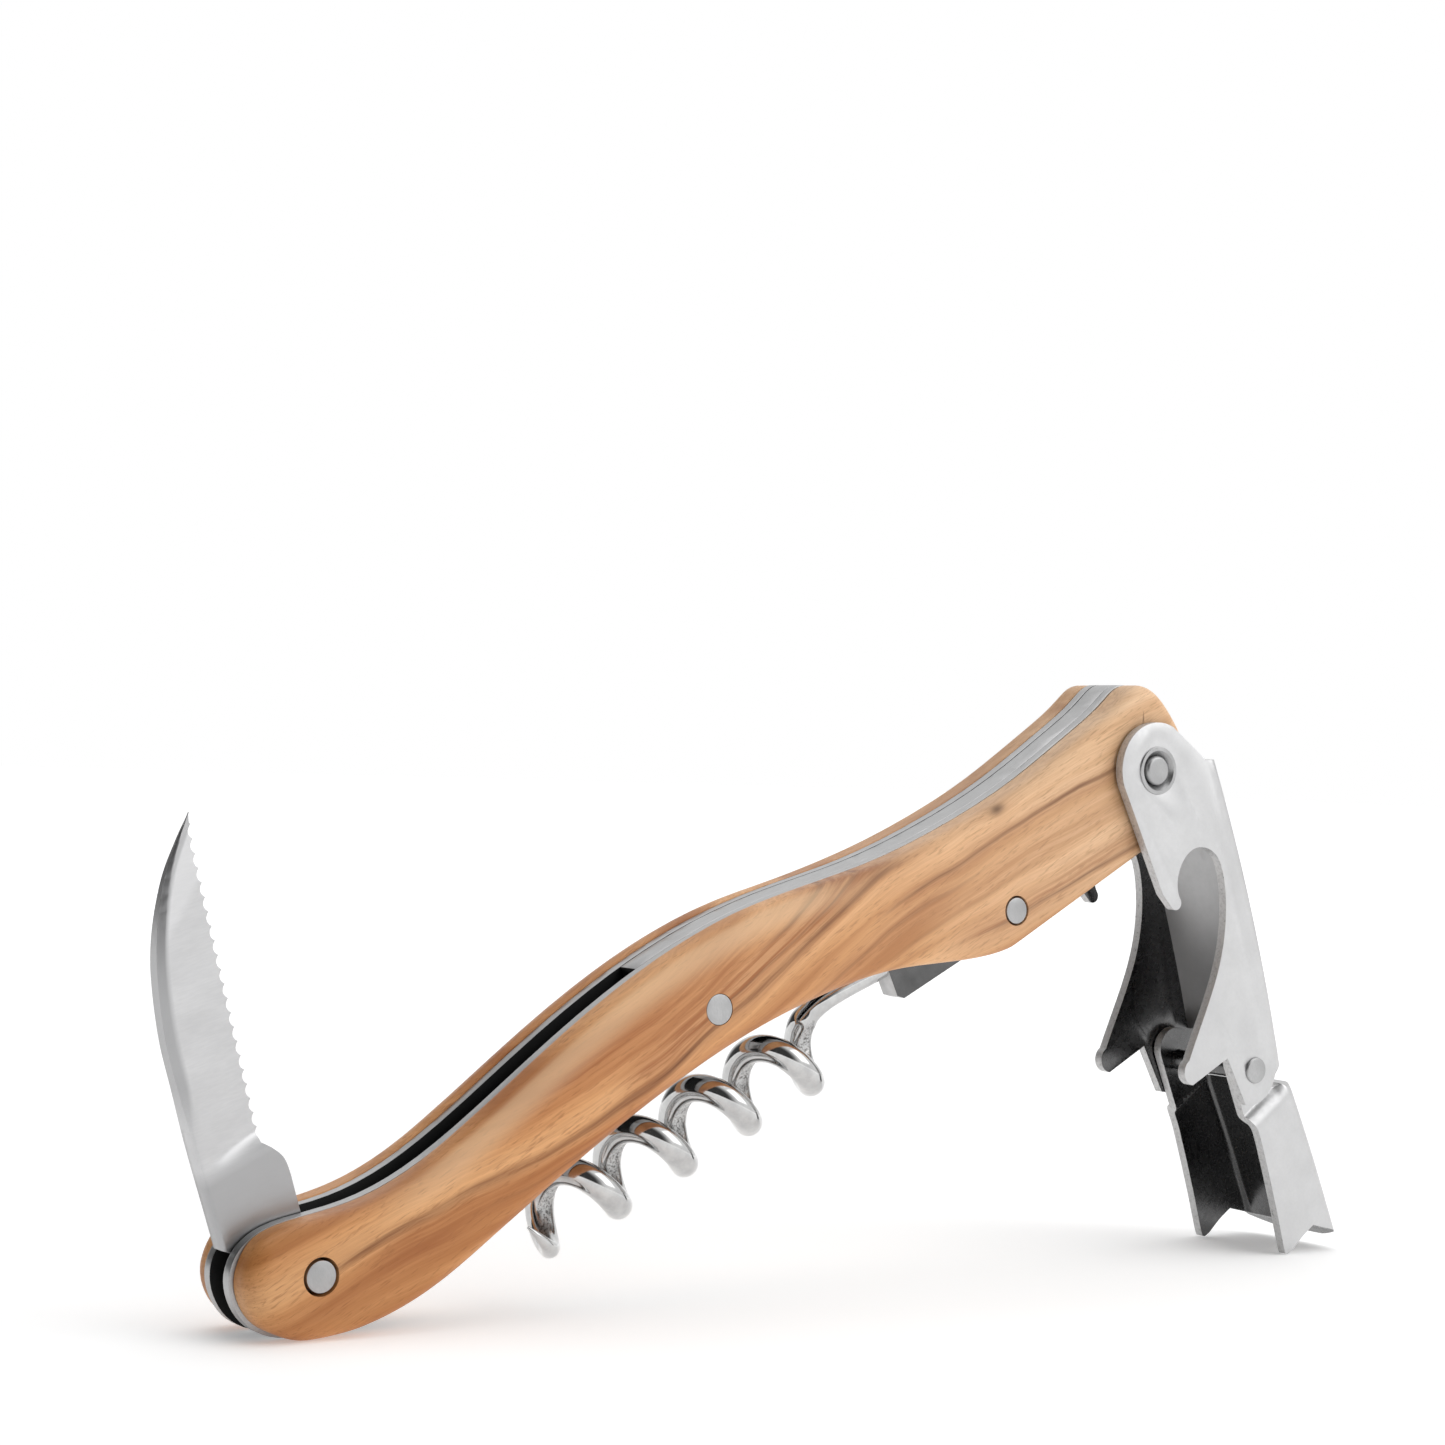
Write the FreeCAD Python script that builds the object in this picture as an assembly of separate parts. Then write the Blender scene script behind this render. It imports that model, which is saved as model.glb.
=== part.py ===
import FreeCAD, Part
import math
import os

V = FreeCAD.Vector

# Waiter's corkscrew, in millimetres. +Z is up, X runs along the tool and the front faces -Y.
# It stands as an arch: the handle leans on its left end and the two-step lever stands on its teeth.

# --- where the pivots are, and how each piece leans ---------------------------------------
KNIFE_PIVOT_X = -53.31
KNIFE_PIVOT_Z = 5.61
HANDLE_LEAN = 26.0            # degrees from level, up to the right
LEVER_PIVOT = (102.9, 0.0)    # in the handle's own frame: u along the handle, v across it
WORM_PIVOT = (81.3, -5.4)
MIDDLE_PIN = (45.5, 2.0)
UPPER_LEVER_LEAN = 18.3       # degrees that the lever swings right of straight down
LOWER_LEVER_LEAN = 23.3
KNIFE_LEAN = 15.8             # degrees that the open blade leans left of straight up

# --- widths across the tool, all measured along Y -----------------------------------------
SLOT = 2.6
LINER = 1.1
HANDLE_WIDTH = 11.0
LEVER_WIDTH = 13.7
LOWER_LEVER_WIDTH = 13.5
SHEET = 1.0                   # thickness of the lever's steel
SPRING_THICK = 2.5
BLADE_THICK = 2.2
TANG_THICK = 2.3
LEVER_WASHER = 0.3
EAR_GAP = 0.15                # lower lever's ears to the upper lever's plates

# --- pins ---------------------------------------------------------------------------------
KNIFE_PIN_R = 1.4
KNIFE_HOLE_R = 1.65           # the hole in the wood shows a dark ring around the pin
MIDDLE_PIN_R = 1.45
WORM_PIN_R = 1.3
WORM_HOLE_R = 1.45
LEVER_PIN_R = 1.5
COLLAR_R = 2.15               # collar pressed into the lever's plate
COLLAR_RIM_R = 2.45
COLLAR_RIM = 0.12             # how far its rim stands off the plate
ELBOW_PIN_R = 1.05
ELBOW_HEAD_R = 1.36
ELBOW_HEAD = 0.25
SCALE_PIN_R = 0.8
RUN = 0.04                    # running clearance of a pin, on the radius
SPACER_R = 3.0

# --- handle -------------------------------------------------------------------------------
BELLY = (79.6, -8.75)         # where the straight underside towards the lever starts
STRAIGHT_END = (101.0, -7.4)
UNDERSIDE = [(76.0, -7.95), (72.0, -6.5), (66.0, -4.3), (58.0, -2.75), (49.0, -2.05), (39.0, -2.4),
             (28.0, -3.7), (17.0, -5.6), (9.5, -6.6), (3.0, -6.35), (-1.0, -5.5)]
LEFT_END = [(-4.4, -4.0), (-6.45, -1.8), (-7.0, 0.8), (-6.45, 3.0), (-5.0, 4.5)]
TOP_LINE = [(-3.0, 5.15), (1.6, 4.5), (6.0, 3.45), (11.0, 3.1), (18.0, 3.9), (28.0, 6.0), (38.0, 7.75),
            (47.5, 8.4), (57.0, 7.75), (68.0, 6.0), (79.0, 5.3), (88.0, 5.65), (97.0, 6.9), (102.5, 8.0)]
RIGHT_END = [(105.3, 8.45), (106.9, 7.3), (108.3, 4.2), (108.9, 0.5), (108.0, -4.0), (105.2, -6.6)]
SCALE_EDGE = 0.9              # rounding of the wood's outer edges
FRONT_PIN_SPOTS = [(14.0, -1.8), (62.0, 2.2), (93.0, -1.5)]
SCALE_PIN_DEPTH = 1.6         # how far these pins reach into the wood

# --- backspring ---------------------------------------------------------------------------
KNIFE_TANG_R = 4.4
SPRING_SEAT_R = 4.65
SPRING_SEAT_ANGLES = (-64.0, -50.0, -36.0)
SPRING_ARM_TOP = [(12.0, -2.2), (26.0, -1.6), (40.2, -0.8), (41.3, 0.4), (40.9, 9.5)]
SPRING_HEAD_UNDER = [(106.2, 12.0), (106.2, 3.6), (99.0, 3.0), (92.5, 2.4), (88.4, -1.0), (74.6, -1.0),
                     (72.0, 2.0), (54.0, 4.4), (50.4, 2.2), (49.5, -4.5), (44.0, -4.5), (44.0, -1.7)]
SPRING_ARM_UNDER = [(39.0, -2.0), (28.0, -3.1), (17.0, -4.9), (9.5, -5.8), (4.0, -5.5)]

# --- knife, in a frame with its pivot at the origin and its tip straight up -----------------
KNIFE_SPINE = [(-6.2, 3.7), (-6.4, 7.5), (-6.65, 12.0), (-6.85, 17.5), (-6.95, 22.5), (-6.4, 27.8),
               (-5.4, 31.8), (-3.75, 35.6), (-1.85, 38.4), (-0.15, 40.5)]
KNIFE_HEEL = [(-0.5, 12.6), (0.2, 10.9), (1.2, 9.2), (1.42, 7.0), (1.39, 4.17)]
RICASSO_TOP = 11.4            # the ground part of the blade starts here

# --- worm, in the handle's frame moved to its pivot -----------------------------------------
COIL_AXIS = -3.05             # the coil's axis runs this far below the pivot
COIL_R = 2.8                  # to the middle of the wire
WIRE_R = 1.35
PITCH = 8.0
LAST_BOTTOM = -26.1           # where the last turn is at its lowest
TURNS = 4.31
NECK_TURN = 0.37              # part of a turn from the last bottom up to the neck
SHANK_R = 1.15                # the wire is drawn down where it enters the handle's slot
TIP_R = 0.12
TIP_LENGTH = 11.0             # the wire tapers over this length
STEPS_PER_TURN = 24
NECK = [(-22.0, -0.3, 1.4), (-20.6, 0.2, 0.8), (-18.4, 0.4, 0.3), (-15.4, 0.35, 0.0), (-11.5, 0.2, 0.0)]
TANG_HEAD_R = 4.0
TANG_BAR = [(-13.9, 1.9), (-13.9, -2.8), (-13.2, -3.4), (-5.0, -3.2), (0.0, -4.0)]

# --- levers, in frames with t to the right and s down, from the pivot that each hangs on -----
EAR_R = 4.9
UPPER_BACK = [(8.6, 34.6), (9.15, 19.0), (8.3, 1.3)]    # outer line of its bowed web
ELBOW = (4.6, 34.2)
HOOK_BACK = (-2.8, 12.4)
HOOK_TIP = [(-2.0, 14.0), (-1.2, 14.5), (-0.6, 13.7)]
SCOOP = [(-0.6, 13.7), (0.0, 10.8), (2.7, 9.2), (5.3, 10.6), (5.8, 13.2), (5.2, 16.6), (3.2, 21.2),
         (-0.3, 25.8), (-4.0, 30.0)]
TOOTH = [(-4.0, 30.0), (-5.0, 31.5), (-4.2, 32.6)]
NOTCH_APEX = (1.2, 31.6)
LOWER_EAR = [(2.3, 37.2), (3.3, 37.6), (5.4, 37.3), (7.2, 35.6)]
WEB_END = 31.9                # s where its web stops between the plates, clear of the lower lever's ears
LOWER_BACK = [(5.5, 22.9), (5.4, 12.5), (5.05, 3.9)]
LOWER_KNEE = (4.6, 20.95)     # where its flange runs into the web at the free end
WEB_TONGUE = 1.7              # its web ends in an arc that reaches this far past the flanges
EAR_LEFT = -2.2
EAR_RIGHT = 2.4
EAR_TOP = -3.5
SHOULDER_LEFT = (-2.2, 4.5)
SHOULDER_RIGHT = (3.5, 3.2)
FLANGE_EDGE = [(-2.2, 4.5), (-1.75, 6.4), (-1.9, 10.0), (-2.3, 15.0), (-2.75, 19.4)]
FLANGE_TIP = [(-2.75, 19.4), (-2.6, 20.3), (-1.8, 20.2)]
RIM_NOTCH = [(-1.8, 20.2), (0.2, 19.5), (2.0, 19.1)]
JOGGLE = 1.0                  # height of the step between the ears and the flanges
BEND_R = 0.9                  # rounding of the channels' outer corners


def polyline(points):
    return Part.makePolygon([V(x, 0, z) for x, z in points]).Edges


def spline(points):
    curve = Part.BSplineCurve()
    curve.interpolate([V(x, 0, z) for x, z in points])
    return [curve.toShape()]


def arc(points):
    a, b, c = [V(x, 0, z) for x, z in points]
    return [Part.Arc(a, b, c).toShape()]


def slab(edges, y_low, y_high):
    """Extrude a closed outline in the XZ plane from y_low to y_high."""
    face = Part.Face(Part.Wire(edges))
    solid = face.extrude(V(0, y_high - y_low, 0))
    solid.translate(V(0, y_low, 0))
    return solid


def rod(spot, radius, y_low, y_high):
    return Part.makeCylinder(radius, y_high - y_low, V(spot[0], y_low, spot[1]), V(0, 1, 0))


def mirrored(shape):
    return shape.mirror(V(0, 0, 0), V(0, 1, 0))


def lean(shape, degrees):
    """Turn a shape about the Y axis through the origin; positive leans its top to the left."""
    turned = shape.copy()
    turned.rotate(V(0, 0, 0), V(0, 1, 0), -degrees)
    return turned


def to_handle(shape):
    """Put a shape modelled in the handle's (u, v) frame in its place."""
    placed = lean(shape, HANDLE_LEAN)
    placed.translate(V(KNIFE_PIVOT_X, 0, KNIFE_PIVOT_Z))
    return placed


def handle_point(spot):
    """Where a spot of the handle's frame is in space."""
    angle = math.radians(HANDLE_LEAN)
    x = KNIFE_PIVOT_X + spot[0] * math.cos(angle) - spot[1] * math.sin(angle)
    z = KNIFE_PIVOT_Z + spot[0] * math.sin(angle) + spot[1] * math.cos(angle)
    return V(x, 0, z)


def elbow_point():
    """Where the elbow pin is in space."""
    angle = math.radians(UPPER_LEVER_LEAN)
    t, s = ELBOW
    pivot = handle_point(LEVER_PIVOT)
    return pivot + V(t * math.cos(angle) + s * math.sin(angle), 0, t * math.sin(angle) - s * math.cos(angle))


def to_upper_lever(shape):
    placed = lean(shape, UPPER_LEVER_LEAN)
    placed.translate(handle_point(LEVER_PIVOT))
    return placed


def to_lower_lever(shape):
    placed = lean(shape, LOWER_LEVER_LEAN)
    placed.translate(elbow_point())
    return placed


def hanging(points):
    """Turn (t, s) points of a hanging lever into (x, z)."""
    return [(t, -s) for t, s in points]


def handle_outline():
    """Closed outline of liners and scales: one smooth curve and the straight underside."""
    curve = spline([BELLY] + UNDERSIDE + LEFT_END + TOP_LINE + RIGHT_END + [STRAIGHT_END])
    return Part.__sortEdges__(curve + polyline([STRAIGHT_END, BELLY]))


LINER_FACE = SLOT / 2 + LINER
WOOD_FACE = HANDLE_WIDTH / 2
LEVER_FACE = LEVER_WIDTH / 2
LOWER_FACE = LOWER_LEVER_WIDTH / 2
EAR_FACE = LEVER_FACE - SHEET - EAR_GAP


def liner():
    """Front steel liner."""
    plate = slab(handle_outline(), -LINER_FACE, -SLOT / 2)
    holes = [rod((0, 0), KNIFE_PIN_R, -9, 9), rod(MIDDLE_PIN, MIDDLE_PIN_R, -9, 9)]
    holes += [rod(WORM_PIVOT, WORM_PIN_R, -9, 9), rod(LEVER_PIVOT, LEVER_PIN_R, -9, 9)]
    holes += [rod(spot, SCALE_PIN_R, -9, 9) for spot in FRONT_PIN_SPOTS]
    return plate.cut(holes)


def scale():
    """Front olive-wood scale, with its outer edges rounded."""
    wood = slab(handle_outline(), -WOOD_FACE, -LINER_FACE)
    outer = [e for e in wood.Edges if e.BoundBox.YMax < -WOOD_FACE + 0.01]
    wood = wood.makeFillet(SCALE_EDGE, outer)
    holes = [rod((0, 0), KNIFE_HOLE_R, -9, 9), rod(MIDDLE_PIN, MIDDLE_PIN_R, -9, 9)]
    holes += [rod(WORM_PIVOT, WORM_HOLE_R, -9, 9), rod(LEVER_PIVOT, LEVER_PIN_R, -9, 9)]
    holes += [rod(spot, SCALE_PIN_R, -LINER_FACE - SCALE_PIN_DEPTH, 0) for spot in FRONT_PIN_SPOTS]
    return wood.cut(holes)


def scale_pins():
    """Short hidden pins that key a scale to its liner."""
    start = -LINER_FACE - SCALE_PIN_DEPTH
    return Part.makeCompound([rod(spot, SCALE_PIN_R, start, -SLOT / 2) for spot in FRONT_PIN_SPOTS])


def backspring():
    """One spring bar: its low left arm bears on the knife, its high right arm on the worm."""
    seat = [(SPRING_SEAT_R * math.cos(math.radians(a)), SPRING_SEAT_R * math.sin(math.radians(a)))
            for a in SPRING_SEAT_ANGLES]
    edges = arc(seat)
    edges += polyline([seat[-1]] + SPRING_ARM_TOP + SPRING_HEAD_UNDER + SPRING_ARM_UNDER + [seat[0]])
    region = slab(edges, -SPRING_THICK / 2, SPRING_THICK / 2)
    whole = slab(handle_outline(), -SPRING_THICK / 2, SPRING_THICK / 2)
    return region.common(whole).cut(rod(MIDDLE_PIN, MIDDLE_PIN_R + RUN, -9, 9))


def lever_spacer():
    """Tube that holds the liners apart at the lever's pivot."""
    tube = rod(LEVER_PIVOT, SPACER_R, -SLOT / 2, SLOT / 2)
    region = slab(polyline([(95, -9), (115, -9), (115, 2.2), (95, 2.2), (95, -9)]), -3, 3)
    return tube.common(region).cut(rod(LEVER_PIVOT, LEVER_PIN_R, -9, 9))


def lever_pin():
    """Lever pivot pin with low domed ends."""
    length = LEVER_FACE + COLLAR_RIM
    pin = rod(LEVER_PIVOT, LEVER_PIN_R, -length, length)
    rims = [e for e in pin.Edges if e.Curve.TypeId == "Part::GeomCircle"]
    return pin.makeFillet(0.35, rims)


def knife_blade():
    """Blade and tang in one piece; the part beyond the ricasso is ground to an edge."""
    tip = KNIFE_SPINE[-1]
    heel_end = KNIFE_HEEL[-1]
    shoulder = KNIFE_SPINE[0]
    reach = math.hypot(*shoulder)
    waist = (shoulder[0] * KNIFE_TANG_R / reach, shoulder[1] * KNIFE_TANG_R / reach)
    low = (KNIFE_TANG_R * math.sin(0.4), -KNIFE_TANG_R * math.cos(0.4))
    edges = spline(KNIFE_SPINE) + polyline([tip, KNIFE_HEEL[0]]) + spline(KNIFE_HEEL)
    edges += arc([heel_end, low, waist]) + polyline([waist, shoulder])
    blade = slab(Part.__sortEdges__(edges), -BLADE_THICK / 2, BLADE_THICK / 2)
    spine_x = min(x for x, z in KNIFE_SPINE)
    half = BLADE_THICK / 2
    grind = Part.Face(Part.makePolygon([V(spine_x * 0.9, -half, 0), V(0.3, -0.15, 0), V(0.3, -half - 1, 0),
                                        V(spine_x * 0.9, -half - 1, 0), V(spine_x * 0.9, -half, 0)]))
    wedge = grind.extrude(V(0, 0, 40))
    wedge.translate(V(0, 0, RICASSO_TOP))
    ground = blade.cut([wedge, mirrored(wedge)])
    placed = lean(ground.cut(rod((0, 0), KNIFE_PIN_R + RUN, -9, 9)), KNIFE_LEAN)
    placed.translate(V(KNIFE_PIVOT_X, 0, KNIFE_PIVOT_Z))
    return placed


def worm_path():
    """Middle line of the worm's wire from its tip to its neck, as (u, y, v) points from the worm's pivot."""
    points = []
    steps = int(round((TURNS + NECK_TURN) * STEPS_PER_TURN))
    for i in range(steps + 1):
        turn = -TURNS + (TURNS + NECK_TURN) * i / steps
        angle = math.pi + 2 * math.pi * turn
        height = COIL_AXIS + COIL_R * math.cos(angle)
        points.append(V(LAST_BOTTOM + PITCH * turn, -COIL_R * math.sin(angle), height))
    return points + [V(u, y, v) for u, v, y in NECK]


def worm_wire():
    """The right-handed wire: circles along its middle line, skinned from each to the next."""
    path = worm_path()
    rings = []
    travelled = 0.0
    side = V(0, 1, 0)
    for i, point in enumerate(path):
        ahead = path[min(i + 1, len(path) - 1)] - path[max(i - 1, 0)]
        ahead.normalize()
        side = (side - ahead * side.dot(ahead)).normalize()
        if i:
            travelled += (point - path[i - 1]).Length
        radius = TIP_R + (WIRE_R - TIP_R) * math.sin(min(1.0, travelled / TIP_LENGTH) * math.pi / 2)
        if i > len(path) - len(NECK):
            radius = SHANK_R
        ring = Part.makeCircle(radius)
        ring.Placement = FreeCAD.Placement(point, FreeCAD.Rotation(side, ahead.cross(side), ahead, "ZXY"))
        rings.append(Part.Wire(ring))
    return Part.makeLoft(rings, True, True)


def worm():
    """Worm with its flat tang, folded under the handle."""
    half = TANG_THICK / 2
    bar_top = TANG_BAR[0]
    edges = polyline([(0.0, TANG_HEAD_R * 0.7), bar_top] + TANG_BAR[1:] + [(0.0, TANG_HEAD_R * 0.7)])
    tang = slab(edges, -half, half).fuse(rod((0, 0), TANG_HEAD_R, -half, half))
    whole = tang.fuse(worm_wire()).removeSplitter().cut(rod((0, 0), WORM_PIN_R + RUN, -9, 9))
    whole.translate(V(WORM_PIVOT[0], 0, WORM_PIVOT[1]))
    return to_handle(whole)


def upper_plate_edges():
    """Outline of the upper lever's side plate: pivot ear, bottle hook and scoop, tooth, elbow ear."""
    slope = math.atan2(HOOK_BACK[0] + EAR_R, HOOK_BACK[1])
    left = (-EAR_R * math.cos(slope), EAR_R * math.sin(slope) * 0.2)
    right = (EAR_R * math.cos(0.85), -EAR_R * math.sin(0.85))
    edges = arc(hanging([left, (-EAR_R * 0.5, -EAR_R * 0.866), right]))
    edges += polyline(hanging([left, HOOK_BACK, HOOK_TIP[0]])) + arc(hanging(HOOK_TIP))
    edges += spline(hanging(SCOOP)) + arc(hanging(TOOTH))
    edges += polyline(hanging([TOOTH[-1], NOTCH_APEX, LOWER_EAR[0]])) + spline(hanging(LOWER_EAR))
    edges += polyline(hanging([LOWER_EAR[-1], UPPER_BACK[0]])) + arc(hanging(UPPER_BACK))
    edges += polyline(hanging([UPPER_BACK[-1], (UPPER_BACK[-1][0] - 1.6, 0.9), right]))
    return Part.__sortEdges__(edges)


def bowed_web(back, face):
    """Web of a hanging channel: a sheet between its bowed outer line and the same line moved inward."""
    outside = hanging(back)
    inside = hanging([(t - SHEET, s) for t, s in back])
    ends = polyline([outside[-1], inside[-1]]) + polyline([inside[0], outside[0]])
    edges = arc(outside) + arc(inside) + ends
    return slab(Part.__sortEdges__(edges), -face, face)


def round_bends(channel, back, face):
    """Round the two long outer corners of a channel, like bent sheet."""
    reach = max(t for t, s in back)
    length = 0.8 * (back[0][1] - back[-1][1])
    corners = []
    for edge in channel.Edges:
        box = edge.BoundBox
        if abs(box.XMax - reach) < 0.1 and box.ZLength > length and abs(abs(box.YMin) - face) < 0.01:
            corners.append(edge)
    return channel.makeFillet(BEND_R, corners)


def upper_lever():
    """Bent channel of sheet steel: two alike plates joined by a bowed web on the outer side."""
    front = slab(upper_plate_edges(), -LEVER_FACE, SHEET - LEVER_FACE)
    web = bowed_web(UPPER_BACK, LEVER_FACE)
    channel = round_bends(front.fuse([mirrored(front), web]).removeSplitter(), UPPER_BACK, LEVER_FACE)
    cuts = [rod((0, 0), COLLAR_R, -9, 9), rod(hanging([ELBOW])[0], ELBOW_PIN_R, -9, 9)]
    inside = LEVER_FACE - SHEET
    cut_back = Part.makeBox(6, 2 * inside, 8, V(6, -inside, -WEB_END - 8))
    return to_upper_lever(channel.cut(cuts + [cut_back]))


def lever_collar():
    """Front collar pressed into the plate; the pivot pin turns in it."""
    inner = LEVER_FACE - SHEET
    body = rod((0, 0), COLLAR_R, -LEVER_FACE, -inner)
    top = -LEVER_FACE - COLLAR_RIM
    rim = rod((0, 0), COLLAR_RIM_R, top, -LEVER_FACE)
    rounded = rim.makeFillet(0.08, [e for e in rim.Edges if e.BoundBox.YMax < top + 0.01])
    sink = Part.makeCone(COLLAR_R - 0.1, LEVER_PIN_R + RUN, 0.6, V(0, top, 0), V(0, 1, 0))
    ring = body.fuse(rounded).removeSplitter().cut([sink, rod((0, 0), LEVER_PIN_R + RUN, -9, 9)])
    return to_upper_lever(ring)


def lever_washer():
    """Front washer between the wood and the lever's plate."""
    ring = rod(LEVER_PIVOT, 3.4, -WOOD_FACE - LEVER_WASHER, -WOOD_FACE)
    return to_handle(ring.cut(rod(LEVER_PIVOT, LEVER_PIN_R, -9, 9)))


def elbow_pin():
    """Pin through both levers, with a low domed head on each side."""
    spot = hanging([ELBOW])[0]
    pin = rod(spot, ELBOW_PIN_R, -LEVER_FACE, LEVER_FACE)
    head = rod(spot, ELBOW_HEAD_R, -LEVER_FACE - ELBOW_HEAD, -LEVER_FACE)
    head = head.makeFillet(0.2, [e for e in head.Edges if e.BoundBox.YMax < -LEVER_FACE - ELBOW_HEAD + 0.01])
    return to_upper_lever(pin.fuse([head, mirrored(head)]).removeSplitter())


def lower_lever():
    """Short channel with the rim notch; its narrow ears sit inside the upper lever."""
    ear_low = SHOULDER_LEFT[1] + 0.2
    arc_start = EAR_TOP + (EAR_RIGHT - EAR_LEFT) / 2
    middle = (EAR_LEFT + EAR_RIGHT) / 2
    edges = arc(hanging([(EAR_LEFT, arc_start), (middle, EAR_TOP), (EAR_RIGHT, arc_start)]))
    edges += polyline(hanging([(EAR_RIGHT, arc_start), (EAR_RIGHT, ear_low), (EAR_LEFT, ear_low),
                               (EAR_LEFT, arc_start)]))
    ear = slab(Part.__sortEdges__(edges), -EAR_FACE, -EAR_FACE + SHEET)

    left, right = SHOULDER_LEFT, SHOULDER_RIGHT
    corner, foot = LOWER_BACK[-1], LOWER_BACK[0]
    step = polyline(hanging([left, right, corner, (corner[0], corner[1] + JOGGLE),
                             (right[0], right[1] + JOGGLE), (left[0], left[1] + JOGGLE), left]))
    joggle = slab(step, -LOWER_FACE, -EAR_FACE + SHEET)

    edges = spline(hanging(FLANGE_EDGE)) + arc(hanging(FLANGE_TIP)) + spline(hanging(RIM_NOTCH))
    edges += polyline(hanging([RIM_NOTCH[-1], LOWER_KNEE, foot])) + arc(hanging(LOWER_BACK))
    edges += polyline(hanging([corner, right, left]))
    flange = slab(Part.__sortEdges__(edges), -LOWER_FACE, -LOWER_FACE + SHEET)

    half = [ear, joggle, flange]
    web = bowed_web(LOWER_BACK, LOWER_FACE)
    channel = half[0].fuse(half[1:] + [mirrored(s) for s in half] + [web]).removeSplitter()
    channel = round_bends(channel, LOWER_BACK, LOWER_FACE)
    return to_lower_lever(channel.cut([rod((0, 0), ELBOW_PIN_R + RUN, -9, 9), beyond_tongue()]))


def beyond_tongue():
    """Everything past the arc that ends the lower lever's web."""
    radius = (LOWER_FACE ** 2 + WEB_TONGUE ** 2) / (2 * WEB_TONGUE)
    middle = LOWER_BACK[0][1] - radius
    inside = Part.makeCylinder(radius, 8, V(2, 0, -middle), V(1, 0, 0))
    end = -LOWER_BACK[0][1] - 2
    return Part.makeBox(6, 20, 4.2, V(3, -10, end)).cut(inside)


def pieces():
    front_scale = to_handle(scale())
    front_liner = to_handle(liner())
    front_scale_pins = to_handle(scale_pins())
    collar = lever_collar()
    washer = lever_washer()
    return {
        "front_scale": front_scale,
        "back_scale": mirrored(front_scale),
        "front_liner": front_liner,
        "back_liner": mirrored(front_liner),
        "front_scale_pins": front_scale_pins,
        "back_scale_pins": mirrored(front_scale_pins),
        "backspring": to_handle(backspring()),
        "knife_blade": knife_blade(),
        "knife_pivot_pin": to_handle(rod((0, 0), KNIFE_PIN_R, -WOOD_FACE, WOOD_FACE)),
        "middle_pin": to_handle(rod(MIDDLE_PIN, MIDDLE_PIN_R, -WOOD_FACE, WOOD_FACE)),
        "worm": worm(),
        "worm_pivot_pin": to_handle(rod(WORM_PIVOT, WORM_PIN_R, -WOOD_FACE, WOOD_FACE)),
        "lever_pivot_pin": to_handle(lever_pin()),
        "lever_pivot_spacer": to_handle(lever_spacer()),
        "front_lever_collar": collar,
        "back_lever_collar": mirrored(collar),
        "front_lever_washer": washer,
        "back_lever_washer": mirrored(washer),
        "upper_lever": upper_lever(),
        "lower_lever": lower_lever(),
        "elbow_pin": elbow_pin(),
    }


os.makedirs("parts", exist_ok=True)
for name, shape in pieces().items():
    shape.exportStep("parts/" + name + ".step")
    print(name, "valid", shape.isValid(), "solids", len(shape.Solids), "volume", round(shape.Volume, 1))
print("lever pivot", handle_point(LEVER_PIVOT), "worm pivot", handle_point(WORM_PIVOT))
print("middle pin", handle_point(MIDDLE_PIN), "elbow", elbow_point())
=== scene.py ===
import math

import bmesh
import bpy
import numpy as np
from mathutils import Matrix, Vector


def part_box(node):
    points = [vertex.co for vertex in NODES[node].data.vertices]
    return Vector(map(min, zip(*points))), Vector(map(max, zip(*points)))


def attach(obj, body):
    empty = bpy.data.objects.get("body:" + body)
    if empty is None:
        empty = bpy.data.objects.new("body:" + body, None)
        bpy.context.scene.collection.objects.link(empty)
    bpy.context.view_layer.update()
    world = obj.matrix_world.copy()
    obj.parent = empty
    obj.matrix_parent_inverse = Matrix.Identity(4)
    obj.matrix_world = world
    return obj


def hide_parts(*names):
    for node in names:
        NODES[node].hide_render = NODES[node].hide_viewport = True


# A waiter's corkscrew: olive-wood handle, serrated knife, worm and a two-step lever.
# Shapes are in millimetres in flat frames that sit on the CAD's pivots; MM turns them into metres.
MM = 0.001

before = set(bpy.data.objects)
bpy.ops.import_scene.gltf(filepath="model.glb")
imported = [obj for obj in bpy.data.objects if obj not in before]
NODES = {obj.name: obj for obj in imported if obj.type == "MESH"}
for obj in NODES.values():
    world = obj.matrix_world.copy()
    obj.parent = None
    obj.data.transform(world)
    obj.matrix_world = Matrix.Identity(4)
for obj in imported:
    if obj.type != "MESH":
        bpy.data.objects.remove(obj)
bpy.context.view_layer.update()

# --- how each piece leans, in degrees, as the CAD has it --------------------------------------
HANDLE_LEAN = 26.0
KNIFE_LEAN = 15.8
UPPER_LEVER_LEAN = 18.3
LOWER_LEVER_LEAN = 23.3

# --- widths across the tool -------------------------------------------------------------------
LINER_FACE = 2.4
WOOD_FACE = 5.5
BLADE_HALF = 1.1
TANG_HALF = 1.15
SHEET = 1.0
LOWER_FACE = 6.75
EAR_FACE = 5.7


def centre(node):
    """Middle of a CAD node's box."""
    low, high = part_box(node)
    return (low + high) / 2


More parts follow.
